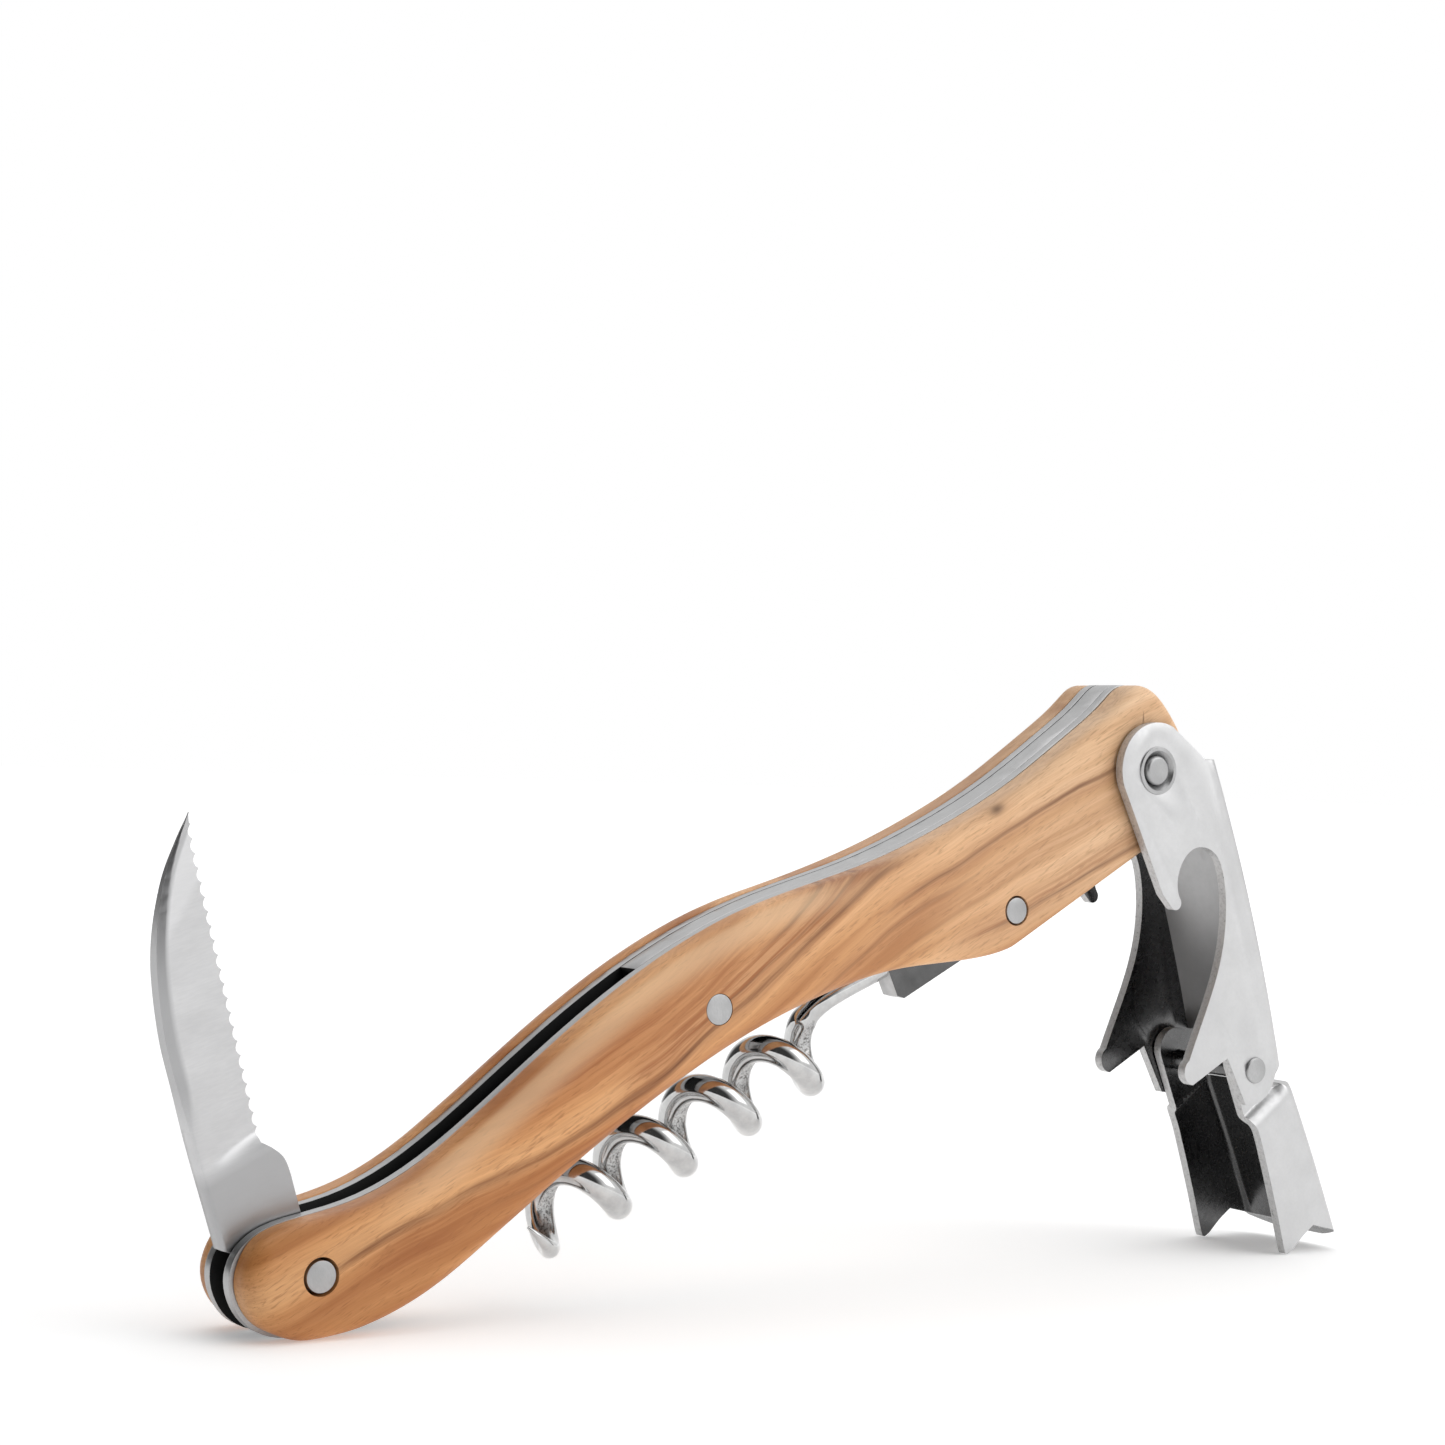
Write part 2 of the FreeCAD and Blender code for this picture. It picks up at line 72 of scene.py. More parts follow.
class Place:
    """A flat frame in the XZ plane, in millimetres, hung on a pivot and turned about Y."""

    def __init__(self, pivot, degrees):
        self.x, self.z = pivot.x / MM, pivot.z / MM
        self.cos, self.sin = math.cos(math.radians(degrees)), math.sin(math.radians(degrees))

    def at(self, a, y, b):
        """The point a along and b across this frame, as a place in metres."""
        return Vector((self.x + a * self.cos - b * self.sin, y, self.z + a * self.sin + b * self.cos)) * MM

    def local(self, point):
        """The (a, b) of a place in metres."""
        dx, dz = point[0] / MM - self.x, point[-1] / MM - self.z
        return dx * self.cos + dz * self.sin, dz * self.cos - dx * self.sin


HANDLE = Place(centre("knife_pivot_pin"), HANDLE_LEAN)
KNIFE = Place(centre("knife_pivot_pin"), KNIFE_LEAN)
WORM = Place(centre("worm_pivot_pin"), HANDLE_LEAN)
UPPER = Place(centre("lever_pivot_pin"), UPPER_LEVER_LEAN)
LOWER = Place(centre("elbow_pin"), LOWER_LEVER_LEAN)


# ==================================== mesh helpers ============================================

def smooth_step(value):
    """0 up to 0, 1 from 1 on, and an even S-curve between."""
    value = min(1.0, max(0.0, value))
    return value * value * (3 - 2 * value)


def curve_through(points, steps):
    """Catmull-Rom curve through points, with that many steps between neighbours."""
    pts = [np.array(p, float) for p in points]
    count = len(pts)
    out = []
    for i in range(count - 1):
        p1, p2 = pts[i], pts[i + 1]
        p0 = pts[i - 1] if i else 2 * p1 - p2
        p3 = pts[i + 2] if i + 2 < count else 2 * p2 - p1
        for k in range(steps):
            t = k / steps
            out.append(0.5 * (2 * p1 + (p2 - p0) * t + (2 * p0 - 5 * p1 + 4 * p2 - p3) * t * t
                              + (3 * p1 - p0 - 3 * p2 + p3) * t ** 3))
    out.append(pts[-1])
    return out


def resampled(points, count):
    """Closed outline through points, cut into count equal steps."""
    pts = np.array(points + [points[0]], float)
    run = np.concatenate([[0], np.cumsum(np.linalg.norm(np.diff(pts, axis=0), axis=1))])
    at = np.linspace(0, run[-1], count, endpoint=False)
    return np.stack([np.interp(at, run, pts[:, k]) for k in range(pts.shape[1])], -1)


def outline(node, y):
    """The outer loop of a CAD node's flat face at y (mm), as (x, z) places in metres."""
    mesh = NODES[node].data
    mesh.calc_loop_triangles()
    seen = {}
    for tri in mesh.loop_triangles:
        corners = [mesh.vertices[v].co for v in tri.vertices]
        if all(abs(c.y / MM - y) < 0.002 for c in corners):
            keys = [(round(c.x, 7), round(c.z, 7)) for c in corners]
            for a, b in zip(keys, keys[1:] + keys[:1]):
                edge = (a, b) if (b, a) not in seen else (b, a)
                seen[edge] = seen.get(edge, 0) + 1
    following = {}
    for (a, b), times in seen.items():
        if times == 1:
            following.setdefault(a, []).append(b)
            following.setdefault(b, []).append(a)
    loops = []
    while following:
        start = next(iter(following))
        loop, spot = [start], start
        while following.get(spot):
            step = following[spot].pop()
            following[step].remove(spot)
            loop.append(step)
            spot = step
        for key in [k for k, v in following.items() if not v]:
            del following[key]
        loops.append(loop[:-1])
    return max(loops, key=lambda l: max(p[0] for p in l) - min(p[0] for p in l))


def piece_from(name, points, faces, merge=True):
    """A new object from places in metres and faces, normals outward. merge joins points that coincide."""
    mesh = bpy.data.meshes.new(name)
    mesh.from_pydata([tuple(p) for p in points], [], faces)
    work = bmesh.new()
    work.from_mesh(mesh)
    if merge:
        bmesh.ops.remove_doubles(work, verts=work.verts, dist=1e-7)
    bmesh.ops.recalc_face_normals(work, faces=work.faces)
    work.to_mesh(mesh)
    work.free()
    piece = bpy.data.objects.new(name, mesh)
    bpy.context.scene.collection.objects.link(piece)
    return piece


def stitched(rings):
    """Faces between closed rings of equally many points, numbered ring after ring, and the two end caps."""
    faces = []
    count = len(rings[0])
    for r in range(len(rings) - 1):
        for i in range(count):
            j = (i + 1) % count
            faces.append((r * count + i, r * count + j, (r + 1) * count + j, (r + 1) * count + i))
    faces.append(tuple(range(count)))
    faces.append(tuple(range((len(rings) - 1) * count, len(rings) * count)))
    return faces


def solid_from(name, rings):
    """A closed piece through rings of places in metres."""
    return piece_from(name, [p for ring in rings for p in ring], stitched(rings))


def settle(piece):
    """Apply a piece's modifiers."""
    graph = bpy.context.evaluated_depsgraph_get()
    mesh = bpy.data.meshes.new_from_object(piece.evaluated_get(graph))
    piece.modifiers.clear()
    piece.data = mesh


def shade(piece, degrees):
    """Smooth shading, with an edge kept sharp where it turns by more than that."""
    piece.data.shade_smooth()
    piece.data.set_sharp_from_angle(angle=math.radians(degrees))


def round_edges(piece, width, degrees=40, segments=2):
    """Ease every edge sharper than that angle."""
    bevel = piece.modifiers.new("ease", "BEVEL")
    bevel.width = width * MM
    bevel.segments = segments
    bevel.angle_limit = math.radians(degrees)
    settle(piece)


def rod(place, a, b, radius, y_low, y_high, sides=48):
    """Closed cylinder along Y, used as a cutter."""
    rings = []
    for y in (y_low, y_high):
        turns = [2 * math.pi * i / sides for i in range(sides)]
        rings.append([place.at(a + radius * math.cos(t), y, b + radius * math.sin(t)) for t in turns])
    return solid_from("cutter", rings)


def boolean(piece, cutters, operation="DIFFERENCE"):
    """Cut a piece by closed cutters, which are then dropped."""
    for cutter in cutters:
        step = piece.modifiers.new("cut", "BOOLEAN")
        step.operation = operation
        step.solver = "MANIFOLD"
        step.object = cutter
    settle(piece)
    for cutter in cutters:
        bpy.data.objects.remove(cutter)


def refined(node, name, width, degrees=30, segments=2):
    """A CAD node's own shape with its edges eased."""
    mesh = NODES[node].data.copy()
    mesh.materials.clear()
    for layer in [a.name for a in mesh.attributes if a.name == "custom_normal"]:
        mesh.attributes.remove(mesh.attributes[layer])
    work = bmesh.new()
    work.from_mesh(mesh)
    bmesh.ops.remove_doubles(work, verts=work.verts, dist=1e-6)
    bmesh.ops.dissolve_limit(work, angle_limit=math.radians(0.3), verts=work.verts, edges=work.edges)
    work.to_mesh(mesh)
    work.free()
    piece = bpy.data.objects.new(name, mesh)
    bpy.context.scene.collection.objects.link(piece)
    round_edges(piece, width, degrees, segments)
    shade(piece, 32)
    return piece


def paint(piece, name, marks):
    """Keep one number per point for the piece's material, which reads it as a grey colour."""
    layer = piece.data.color_attributes.new(name, "FLOAT_COLOR", "POINT")
    for item, value in zip(layer.data, marks):
        item.color = (value, value, value, 1)


def finish_piece(piece, body, nodes, slot, *materials):
    """Materials, body and CAD nodes of a piece. slot is not used."""
    piece.data.materials.clear()
    for material in materials:
        piece.data.materials.append(material)
    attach(piece, body)
    if nodes:
        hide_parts(*nodes)


# ===================================== materials ==============================================

class Shader:
    """A node material: a Principled shader with named helpers."""

    def __init__(self, name):
        self.material = bpy.data.materials.new(name)
        self.material.use_nodes = True
        self.tree = self.material.node_tree
        self.main = self.tree.nodes["Principled BSDF"]
        self.place = self.add("ShaderNodeTexCoord").outputs["Object"]

    def add(self, kind, **settings):
        node = self.tree.nodes.new(kind)
        for key, value in settings.items():
            setattr(node, key, value)
        return node

    def link(self, source, target):
        self.tree.links.new(source, target)

    def math(self, operation, first, second=0.0):
        node = self.add("ShaderNodeMath", operation=operation)
        for socket, value in zip(node.inputs, (first, second)):
            if isinstance(value, (int, float)):
                socket.default_value = value
            else:
                self.link(value, socket)
        return node.outputs[0]

    def turned(self, degrees, origin=(0, 0, 0), scale=(1, 1, 1)):
        """Object coordinates in millimetres, turned about Y onto a leaning piece, then scaled."""
        shift = self.add("ShaderNodeVectorMath", operation="SUBTRACT")
        self.link(self.place, shift.inputs[0])
        shift.inputs[1].default_value = origin
        turn = self.add("ShaderNodeMapping")
        self.link(shift.outputs[0], turn.inputs["Vector"])
        turn.inputs["Rotation"].default_value = (0, math.radians(degrees), 0)
        turn.inputs["Scale"].default_value = (1000, 1000, 1000)
        stretch = self.add("ShaderNodeVectorMath", operation="MULTIPLY")
        self.link(turn.outputs[0], stretch.inputs[0])
        stretch.inputs[1].default_value = scale
        return stretch.outputs[0]

    def noise(self, vector, scale, detail=3.0, rough=0.5, distort=0.0):
        node = self.add("ShaderNodeTexNoise")
        self.link(vector, node.inputs["Vector"])
        node.inputs["Scale"].default_value = scale
        node.inputs["Detail"].default_value = detail
        node.inputs["Roughness"].default_value = rough
        node.inputs["Distortion"].default_value = distort
        return node.outputs["Fac"]

    def ramp(self, value, stops):
        node = self.add("ShaderNodeValToRGB")
        self.link(value, node.inputs[0])
        marks = node.color_ramp.elements
        while len(marks) < len(stops):
            marks.new(0.5)
        for mark, (spot, colour) in zip(marks, stops):
            mark.position = spot
            mark.color = (*colour, 1) if isinstance(colour, tuple) else (colour, colour, colour, 1)
        return node.outputs[0]

    def span(self, value, low, high, to_low=0.0, to_high=1.0, smooth=False):
        node = self.add("ShaderNodeMapRange", interpolation_type="SMOOTHSTEP" if smooth else "LINEAR")
        self.link(value, node.inputs["Value"])
        for key, number in (("From Min", low), ("From Max", high), ("To Min", to_low), ("To Max", to_high)):
            node.inputs[key].default_value = number
        return node.outputs[0]

    def mix(self, factor, first, second, blend="MIX"):
        node = self.add("ShaderNodeMix", data_type="RGBA", blend_type=blend)
        for socket, value in ((node.inputs[0], factor), (node.inputs[6], first), (node.inputs[7], second)):
            if isinstance(value, (int, float)):
                socket.default_value = value
            elif isinstance(value, tuple):
                socket.default_value = (*value, 1)
            else:
                self.link(value, socket)
        return node.outputs[2]

    def bump(self, height, strength, distance):
        node = self.add("ShaderNodeBump")
        self.link(height, node.inputs["Height"])
        node.inputs["Strength"].default_value = strength
        node.inputs["Distance"].default_value = distance * MM
        self.link(node.outputs[0], self.main.inputs["Normal"])


def steel(name, tone, rough, degrees, grain, mottling=0.06, depth=0.004, streak=0.05):
    """Satin steel with a grain: grain is how the noise is stretched along, across and up the piece."""
    s = Shader(name)
    s.main.inputs["Metallic"].default_value = 1.0
    fine = s.noise(s.turned(degrees, scale=grain), 6.0, 4.0, 0.6)
    cloud = s.noise(s.turned(degrees, scale=(0.35, 0.35, 0.35)), 1.0, 3.0, 0.5)
    light = tuple(tone * c for c in (1.0, 1.0, 1.005))
    dim = tuple(c * (1 - mottling * 2) for c in light)
    toned = s.mix(s.span(cloud, 0.35, 0.65), dim, light)
    colour = s.mix(s.span(fine, 0.35, 0.65, 0, streak * 3), toned, tuple(c * 0.75 for c in light))
    s.link(colour, s.main.inputs["Base Color"])
    s.link(s.span(fine, 0.3, 0.7, rough - 0.05, rough + 0.07), s.main.inputs["Roughness"])
    s.bump(fine, 0.35, depth)
    return s.material


def blade_steel():
    """Ground blade: fine marks across it, and a duller ricasso below the plunge."""
    s = Shader("blade_steel")
    s.main.inputs["Metallic"].default_value = 1.0
    pivot = tuple(centre("knife_pivot_pin"))
    parts = s.add("ShaderNodeSeparateXYZ")
    s.link(s.turned(KNIFE_LEAN, pivot), parts.inputs[0])
    x, _, z = parts.outputs
    marks = s.noise(s.turned(KNIFE_LEAN, pivot, (0.25, 1.0, 2.2)), 2.5, 4.0, 0.6)
    cloud = s.noise(s.turned(KNIFE_LEAN, pivot, (0.15, 0.3, 0.3)), 1.0, 3.0, 0.5)
    tone = s.mix(s.span(cloud, 0.35, 0.65), (0.55, 0.55, 0.555), (0.60, 0.60, 0.605))
    marked = s.mix(s.span(marks, 0.40, 0.62, 0.14, 0.0), tone, (0.36, 0.36, 0.37))
    ricasso = s.math("ADD", z, s.math("MULTIPLY", x, -0.2))
    low = s.mix(s.span(ricasso, 10.6, 12.2, 1.0, 0.0), marked, (0.41, 0.41, 0.415))
    facet = s.math("ADD", z, s.math("MULTIPLY", x, -0.9))
    tip = s.mix(s.span(facet, 34.6, 35.6, 0.0, 0.35), low, (0.74, 0.74, 0.745))
    # the narrow facets beside the spine are darkened: painted shade
    spine = s.add("ShaderNodeVertexColor", layer_name="spine").outputs["Color"]
    s.link(s.mix(s.math("MULTIPLY", spine, 0.8), tip, (0.40, 0.40, 0.405)), s.main.inputs["Base Color"])
    s.link(s.span(marks, 0.3, 0.7, 0.31, 0.40), s.main.inputs["Roughness"])
    s.bump(marks, 0.3, 0.004)
    return s.material


def sheared_steel():
    """Punched edge of the lever's sheet: pitted, with a dull lower part."""
    s = Shader("sheared_edge_steel")
    s.main.inputs["Metallic"].default_value = 0.55
    pits = s.noise(s.turned(0, scale=(1, 1, 1)), 3.2, 3.0, 0.7)
    s.link(s.ramp(pits, [(0.28, 0.22), (0.36, 0.50), (0.55, 0.60)]), s.main.inputs["Base Color"])
    s.link(s.span(pits, 0.3, 0.7, 0.60, 0.45), s.main.inputs["Roughness"])
    s.bump(pits, 0.4, 0.012)
    return s.material


def worm_steel():
    """Polished wire, with a pitted groove on its inner side, darkened in patches there as painted shade, and
    faint drawing marks.
    """
    s = Shader("polished_wire")
    s.main.inputs["Metallic"].default_value = 1.0
    marks = s.noise(s.turned(HANDLE_LEAN, scale=(1, 1, 1)), 0.9, 3.0, 0.6)
    pits = s.noise(s.turned(HANDLE_LEAN, scale=(1, 1, 1)), 5.0, 3.0, 0.7)
    groove = s.add("ShaderNodeVertexColor", layer_name="groove").outputs["Color"]
    # dark patches in the groove: painted shade in that recess
    groove_painted_shade = s.math("MULTIPLY", groove, s.span(pits, 0.40, 0.52, 1.0, 0.0))
    base = s.mix(s.span(marks, 0.35, 0.65), (0.52, 0.52, 0.52), (0.62, 0.62, 0.615))
    s.link(s.mix(groove_painted_shade, base, (0.12, 0.115, 0.11)), s.main.inputs["Base Color"])
    s.link(s.math("ADD", s.span(marks, 0.3, 0.7, 0.07, 0.13), s.math("MULTIPLY", groove, 0.25)),
           s.main.inputs["Roughness"])
    s.bump(s.math("MULTIPLY", groove, pits), 0.8, 0.05)
    return s.material


BROWN = (0.41, 0.165, 0.058)
DARK = (0.21, 0.086, 0.033)
PALE = (0.95, 0.64, 0.40)
# streaks of the front scale: place across the grain, half width, from u, to u, strength, colour
FRONT_STREAKS = [
    (-8.2, 2.2, 68.0, 125.0, 0.50, PALE),
    (0.7, 1.9, 30.0, 76.0, 0.88, BROWN),
    (3.8, 1.6, 18.0, 54.0, 0.70, BROWN),
    (-6.4, 1.1, 46.0, 79.0, 0.60, BROWN),
    (-2.2, 1.3, 2.0, 42.0, 0.55, BROWN),
    (-4.4, 1.0, 64.0, 108.0, 0.60, BROWN),
    (-11.6, 1.3, 70.0, 108.0, 0.68, BROWN),
    (-3.6, 0.9, -6.0, 16.0, 0.50, BROWN),
    (2.6, 0.5, 56.0, 78.0, 0.75, BROWN),
    (-0.9, 0.42, -2.0, 74.0, 0.80, DARK),
    (0.3, 0.16, 40.0, 70.0, 0.70, DARK),
    (-4.3, 0.22, 64.0, 108.0, 0.80, DARK),
    (-12.1, 0.24, 74.0, 108.0, 0.85, DARK),
    (-6.1, 0.18, 52.0, 82.0, 0.45, DARK),
    (1.9, 0.22, 50.0, 76.0, 0.75, DARK),
    (-2.9, 0.20, 14.0, 44.0, 0.35, DARK),
    (-8.6, 0.25, 62.0, 90.0, 0.25, DARK),
]
KNOT = (83.1, 5.0)             # u and v of the knot in the front scale


def olive_wood():
    """Olive wood: honey ground, long brown streaks that rise to the right, dark veins and one knot."""
    s = Shader("olive_wood")
    pivot = tuple(centre("knife_pivot_pin"))
    place = s.turned(HANDLE_LEAN, pivot)
    parts = s.add("ShaderNodeSeparateXYZ")
    s.link(place, parts.inputs[0])
    u, y, v = parts.outputs

    # the grain runs level in both halves of the handle and climbs between them
    waist_climb = s.span(u, 34.0, 70.0, 0.0, 6.3, smooth=True)
    climb = s.math("ADD", waist_climb, s.span(u, 2.0, 24.0, 1.2, 0.0, smooth=True))
    wander = s.noise(s.turned(HANDLE_LEAN, pivot, (0.055, 0.05, 0.10)), 1.0, 2.0, 0.5)
    across = s.math("ADD", s.math("SUBTRACT", v, climb), s.span(wander, 0.3, 0.7, -0.45, 0.45))

    # the streaks close round the knot
    knot_u, knot_v = KNOT
    du = s.math("SUBTRACT", u, knot_u)
    dv = s.math("SUBTRACT", v, knot_v)
    deep = s.math("ADD", y, WOOD_FACE)
    far = s.math("ADD", s.math("MULTIPLY", s.math("MULTIPLY", du, du), 0.45), s.math("MULTIPLY", dv, dv))
    far = s.math("ADD", far, s.math("MULTIPLY", s.math("MULTIPLY", deep, deep), 1.5))
    only_front = s.math("LESS_THAN", y, 0.0)
    knot = s.math("MULTIPLY", s.math("EXPONENT", s.math("MULTIPLY", far, -2.8)), only_front)
    swirl = s.math("MULTIPLY", s.math("EXPONENT", s.math("MULTIPLY", far, -0.35)), only_front)
    across = s.math("ADD", across, s.math("MULTIPLY", swirl, 0.35))

    grain = s.add("ShaderNodeCombineXYZ")
    s.link(s.math("MULTIPLY", u, 0.03), grain.inputs[0])
    s.link(s.math("MULTIPLY", y, 0.22), grain.inputs[1])
    s.link(across, grain.inputs[2])
    line = grain.outputs[0]

    broad = s.noise(line, 0.26, 2.5, 0.5)
    fibres = s.noise(line, 2.2, 4.0, 0.62)
    threads = s.noise(line, 7.0, 3.0, 0.6)
    pale = s.ramp(s.span(broad, 0.30, 0.70), [(0.15, (0.52, 0.250, 0.100)), (0.34, (0.72, 0.415, 0.210)),
                                              (0.52, (0.87, 0.560, 0.325)), (0.85, (0.95, 0.665, 0.430))])
    ground = s.mix(s.span(fibres, 0.36, 0.60, 0.18, 0.0), pale, (0.50, 0.245, 0.100))

    def streak(centre_line, width, from_u, to_u, ends=7.0):
        """How strongly one brown streak shows: a soft line across the grain, fading at its ends."""
        away = s.math("DIVIDE", s.math("SUBTRACT", across, centre_line), width)
        line_shape = s.math("EXPONENT", s.math("MULTIPLY", s.math("MULTIPLY", away, away), -1.0))
        begins = s.span(u, from_u, from_u + ends, smooth=True)
        stops = s.span(u, to_u - ends, to_u, 1.0, 0.0, smooth=True)
        return s.math("MULTIPLY", line_shape, s.math("MULTIPLY", begins, stops))

    # broad brown bands, then the thin dark lines inside them, on the front scale
    wood_now = ground
    for centre_line, width, from_u, to_u, strength, colour in FRONT_STREAKS:
        in_front = s.math("MULTIPLY", streak(centre_line, width, from_u, to_u), only_front)
        shown = s.math("MULTIPLY", in_front, strength)
        torn = s.math("MULTIPLY", shown, s.span(fibres, 0.34, 0.58, 1.30, 0.55))
        wood_now = s.mix(s.math("MINIMUM", torn, 1.0), wood_now, colour)
    only_back = s.math("SUBTRACT", 1.0, only_front)
    back_bands = s.noise(line, 0.42, 3.0, 0.5, 0.2)
    back_brown = s.math("MULTIPLY", s.span(back_bands, 0.50, 0.60), s.math("MULTIPLY", only_back, 0.6))
    banded = s.mix(back_brown, wood_now, (0.42, 0.170, 0.062))
    threaded = s.mix(s.span(threads, 0.38, 0.60, 0.22, 0.0), banded, (0.42, 0.185, 0.07))

    # pores, short and dark, and the slow change from the browner left end to the paler right: partly the
    # wood's own tone, partly painted light, with shade painted on the left end and light on the right
    pores = s.noise(s.turned(HANDLE_LEAN + 6, pivot, (0.25, 2.2, 2.2)), 2.6, 2.0, 0.5)
    pored = s.mix(s.span(pores, 0.57, 0.70, 0.0, 0.42), threaded, (0.36, 0.165, 0.065))
    light_and_tone_ramp = s.ramp(s.span(u, -6.0, 106.0), [(0.0, (0.80, 0.615, 0.42)), (0.30, (0.90, 0.685, 0.47)),
                                          (0.60, (0.98, 0.82, 0.64)), (0.88, (1.0, 0.98, 0.95))])
    toned = s.mix(1.0, pored, light_and_tone_ramp, "MULTIPLY")
    paled_by_painted_light = s.mix(s.span(u, 25.0, 75.0, 0.0, 0.07), toned, (1.0, 0.78, 0.56))
    halo = s.mix(s.math("MULTIPLY", swirl, 0.22), paled_by_painted_light, (0.40, 0.17, 0.065))
    knotted = s.mix(s.math("MULTIPLY", knot, 0.9), halo, (0.09, 0.040, 0.020))
    # the pale band along the edge under the spine is a painted highlight
    ridge_highlight = s.add("ShaderNodeVertexColor", layer_name="ridge_highlight").outputs["Color"]
    s.link(s.mix(s.math("MULTIPLY", ridge_highlight, 0.5), knotted, (0.92, 0.640, 0.395)), s.main.inputs["Base Color"])

    s.link(s.span(threads, 0.3, 0.7, 0.50, 0.40), s.main.inputs["Roughness"])
    s.main.inputs["Specular IOR Level"].default_value = 0.35
    s.main.inputs["Coat Weight"].default_value = 0.06
    s.main.inputs["Coat Roughness"].default_value = 0.35
    s.bump(s.math("SUBTRACT", threads, s.math("MULTIPLY", pores, 0.5)), 0.25, 0.03)
    return s.material


# ======================================= wood =================================================

RING_STEPS = 420
# rings up the wall: share of its height, and how far in the ring is set; the first ease the inner edge
WALL_RINGS = [(0.0, 0.40), (0.07, 0.36), (0.09, 0.06), (0.12, 0.0), (0.3, 0.0), (0.5, 0.0), (0.75, 0.0),
              (1.0, 0.0)]
# rings over the rounded edge and the face: how far in from the wall
REACH = [0.0, 0.08, 0.2, 0.36, 0.55, 0.78, 1.05, 1.4, 1.8, 2.2, 2.6, 3.0]


LEFT_SETBACK = 0.35           # how far the wood stays behind the liners at the left end
SWELL = 0.32                  # how far the upper wall bulges
SWELL_ARC = 0.75              # the part of a half turn that the bulge goes through on its way up
CROWN = 0.10                  # how much lower the face is at its rim than in its middle


def wood_rounding(u, upper):
    """How far in and how deep the outer edge is rounded, at u along the handle."""
    waist = smooth_step((u - 4) / 14) * smooth_step((70 - u) / 12)
    left = smooth_step((2.0 - u) / 5)
    reach = 1.1 + (1.7 if upper else 0.9) * waist + 1.0 * left
    depth = 1.0 + (0.9 if upper else 0.5) * waist + 0.7 * left
    return reach, depth


def wood(name, side):
    """One scale: walls that swell a little, a rounded outer edge and a low crown. side is -1 in front."""
    loop = [HANDLE.local(p) for p in outline("front_scale", -LINER_FACE)]
    edge = resampled(loop, RING_STEPS)
    edge = (np.roll(edge, 1, 0) + 2 * edge + np.roll(edge, -1, 0)) / 4
    area = 0.5 * sum(a[0] * b[1] - b[0] * a[1] for a, b in zip(edge, np.roll(edge, -1, 0)))
    if area < 0:
        edge = edge[::-1]
    ahead = np.roll(edge, -2, 0) - np.roll(edge, 2, 0)
    inward = np.stack([-ahead[:, 1], ahead[:, 0]], -1) / np.linalg.norm(ahead, axis=1)[:, None]

    us = edge[:, 0]
    tops = edge[inward[:, 1] < 0]
    bottoms = edge[inward[:, 1] > 0]
    tops = tops[np.argsort(tops[:, 0])]
    bottoms = bottoms[np.argsort(bottoms[:, 0])]
    middle_u = np.clip(us, 0.5, 101.5)
    upper_v = np.interp(middle_u, tops[:, 0], tops[:, 1])
    lower_v = np.interp(middle_u, bottoms[:, 0], bottoms[:, 1])
    middle_v = (upper_v + lower_v) / 2
    middle = np.stack([middle_u, middle_v], -1)

    rounding = [wood_rounding(u, n[1] < 0) for u, n in zip(us, inward)]
    setback = np.array([LEFT_SETBACK * smooth_step((-3.0 - u) / 3) for u in us])
    swell = np.array([SWELL * smooth_step((u - 8) / 12) * smooth_step((64 - u) / 14) * (n[1] < -0.3)
                      for u, n in zip(us, inward)])
    rings = []
    for share, ease in WALL_RINGS:
        ring = []
        for i, (spot, into) in enumerate(zip(edge, inward)):
            wall = WOOD_FACE - LINER_FACE - rounding[i][1]
            bulge = swell[i] * math.sin(math.pi * share * SWELL_ARC)
            a, b = spot + into * (setback[i] + ease - bulge)
            ring.append(HANDLE.at(a, side * (LINER_FACE + share * wall), b))
        rings.append(ring)
    for depth_in in REACH[1:]:
        ring = []
        for i, (spot, into) in enumerate(zip(edge, inward)):
            reach, depth = rounding[i]
            bulge = swell[i] * math.sin(math.pi * SWELL_ARC) * max(0.0, 1 - depth_in / 2.4)
            t = min(1.0, depth_in / reach)
            drop = depth * (1 - math.sqrt(max(0.0, 1 - (1 - t) ** 2)))
            crown = CROWN * (1 - depth_in / REACH[-1]) ** 2
            a, b = spot + into * (setback[i] + depth_in - bulge)
            ring.append(HANDLE.at(a, side * (WOOD_FACE - drop - crown * (t >= 1)), b))
        rings.append(ring)
    last = edge + inward * REACH[-1]
    for share in (0.2, 0.4):
        flat = last + (middle - last) * share
        rings.append([HANDLE.at(a, side * WOOD_FACE, b) for a, b in flat])
    return solid_from(name, rings)


HOLES = (("knife_pivot_pin", 1.68), ("middle_pin", 1.48), ("worm_pivot_pin", 1.5), ("lever_pivot_pin", 1.55))


def drill_wood(piece):
    """Pin holes, each with its gap round the pin, then the painted highlight on the edge under the spine and
    the shading.
    """
    cutters = []
    for node, radius in HOLES:
        a, b = HANDLE.local(centre(node))
        cutters.append(rod(HANDLE, a, b, radius, -9, 9))
    boolean(piece, cutters)
    mark_ridge_highlight(piece)
    shade(piece, 50)


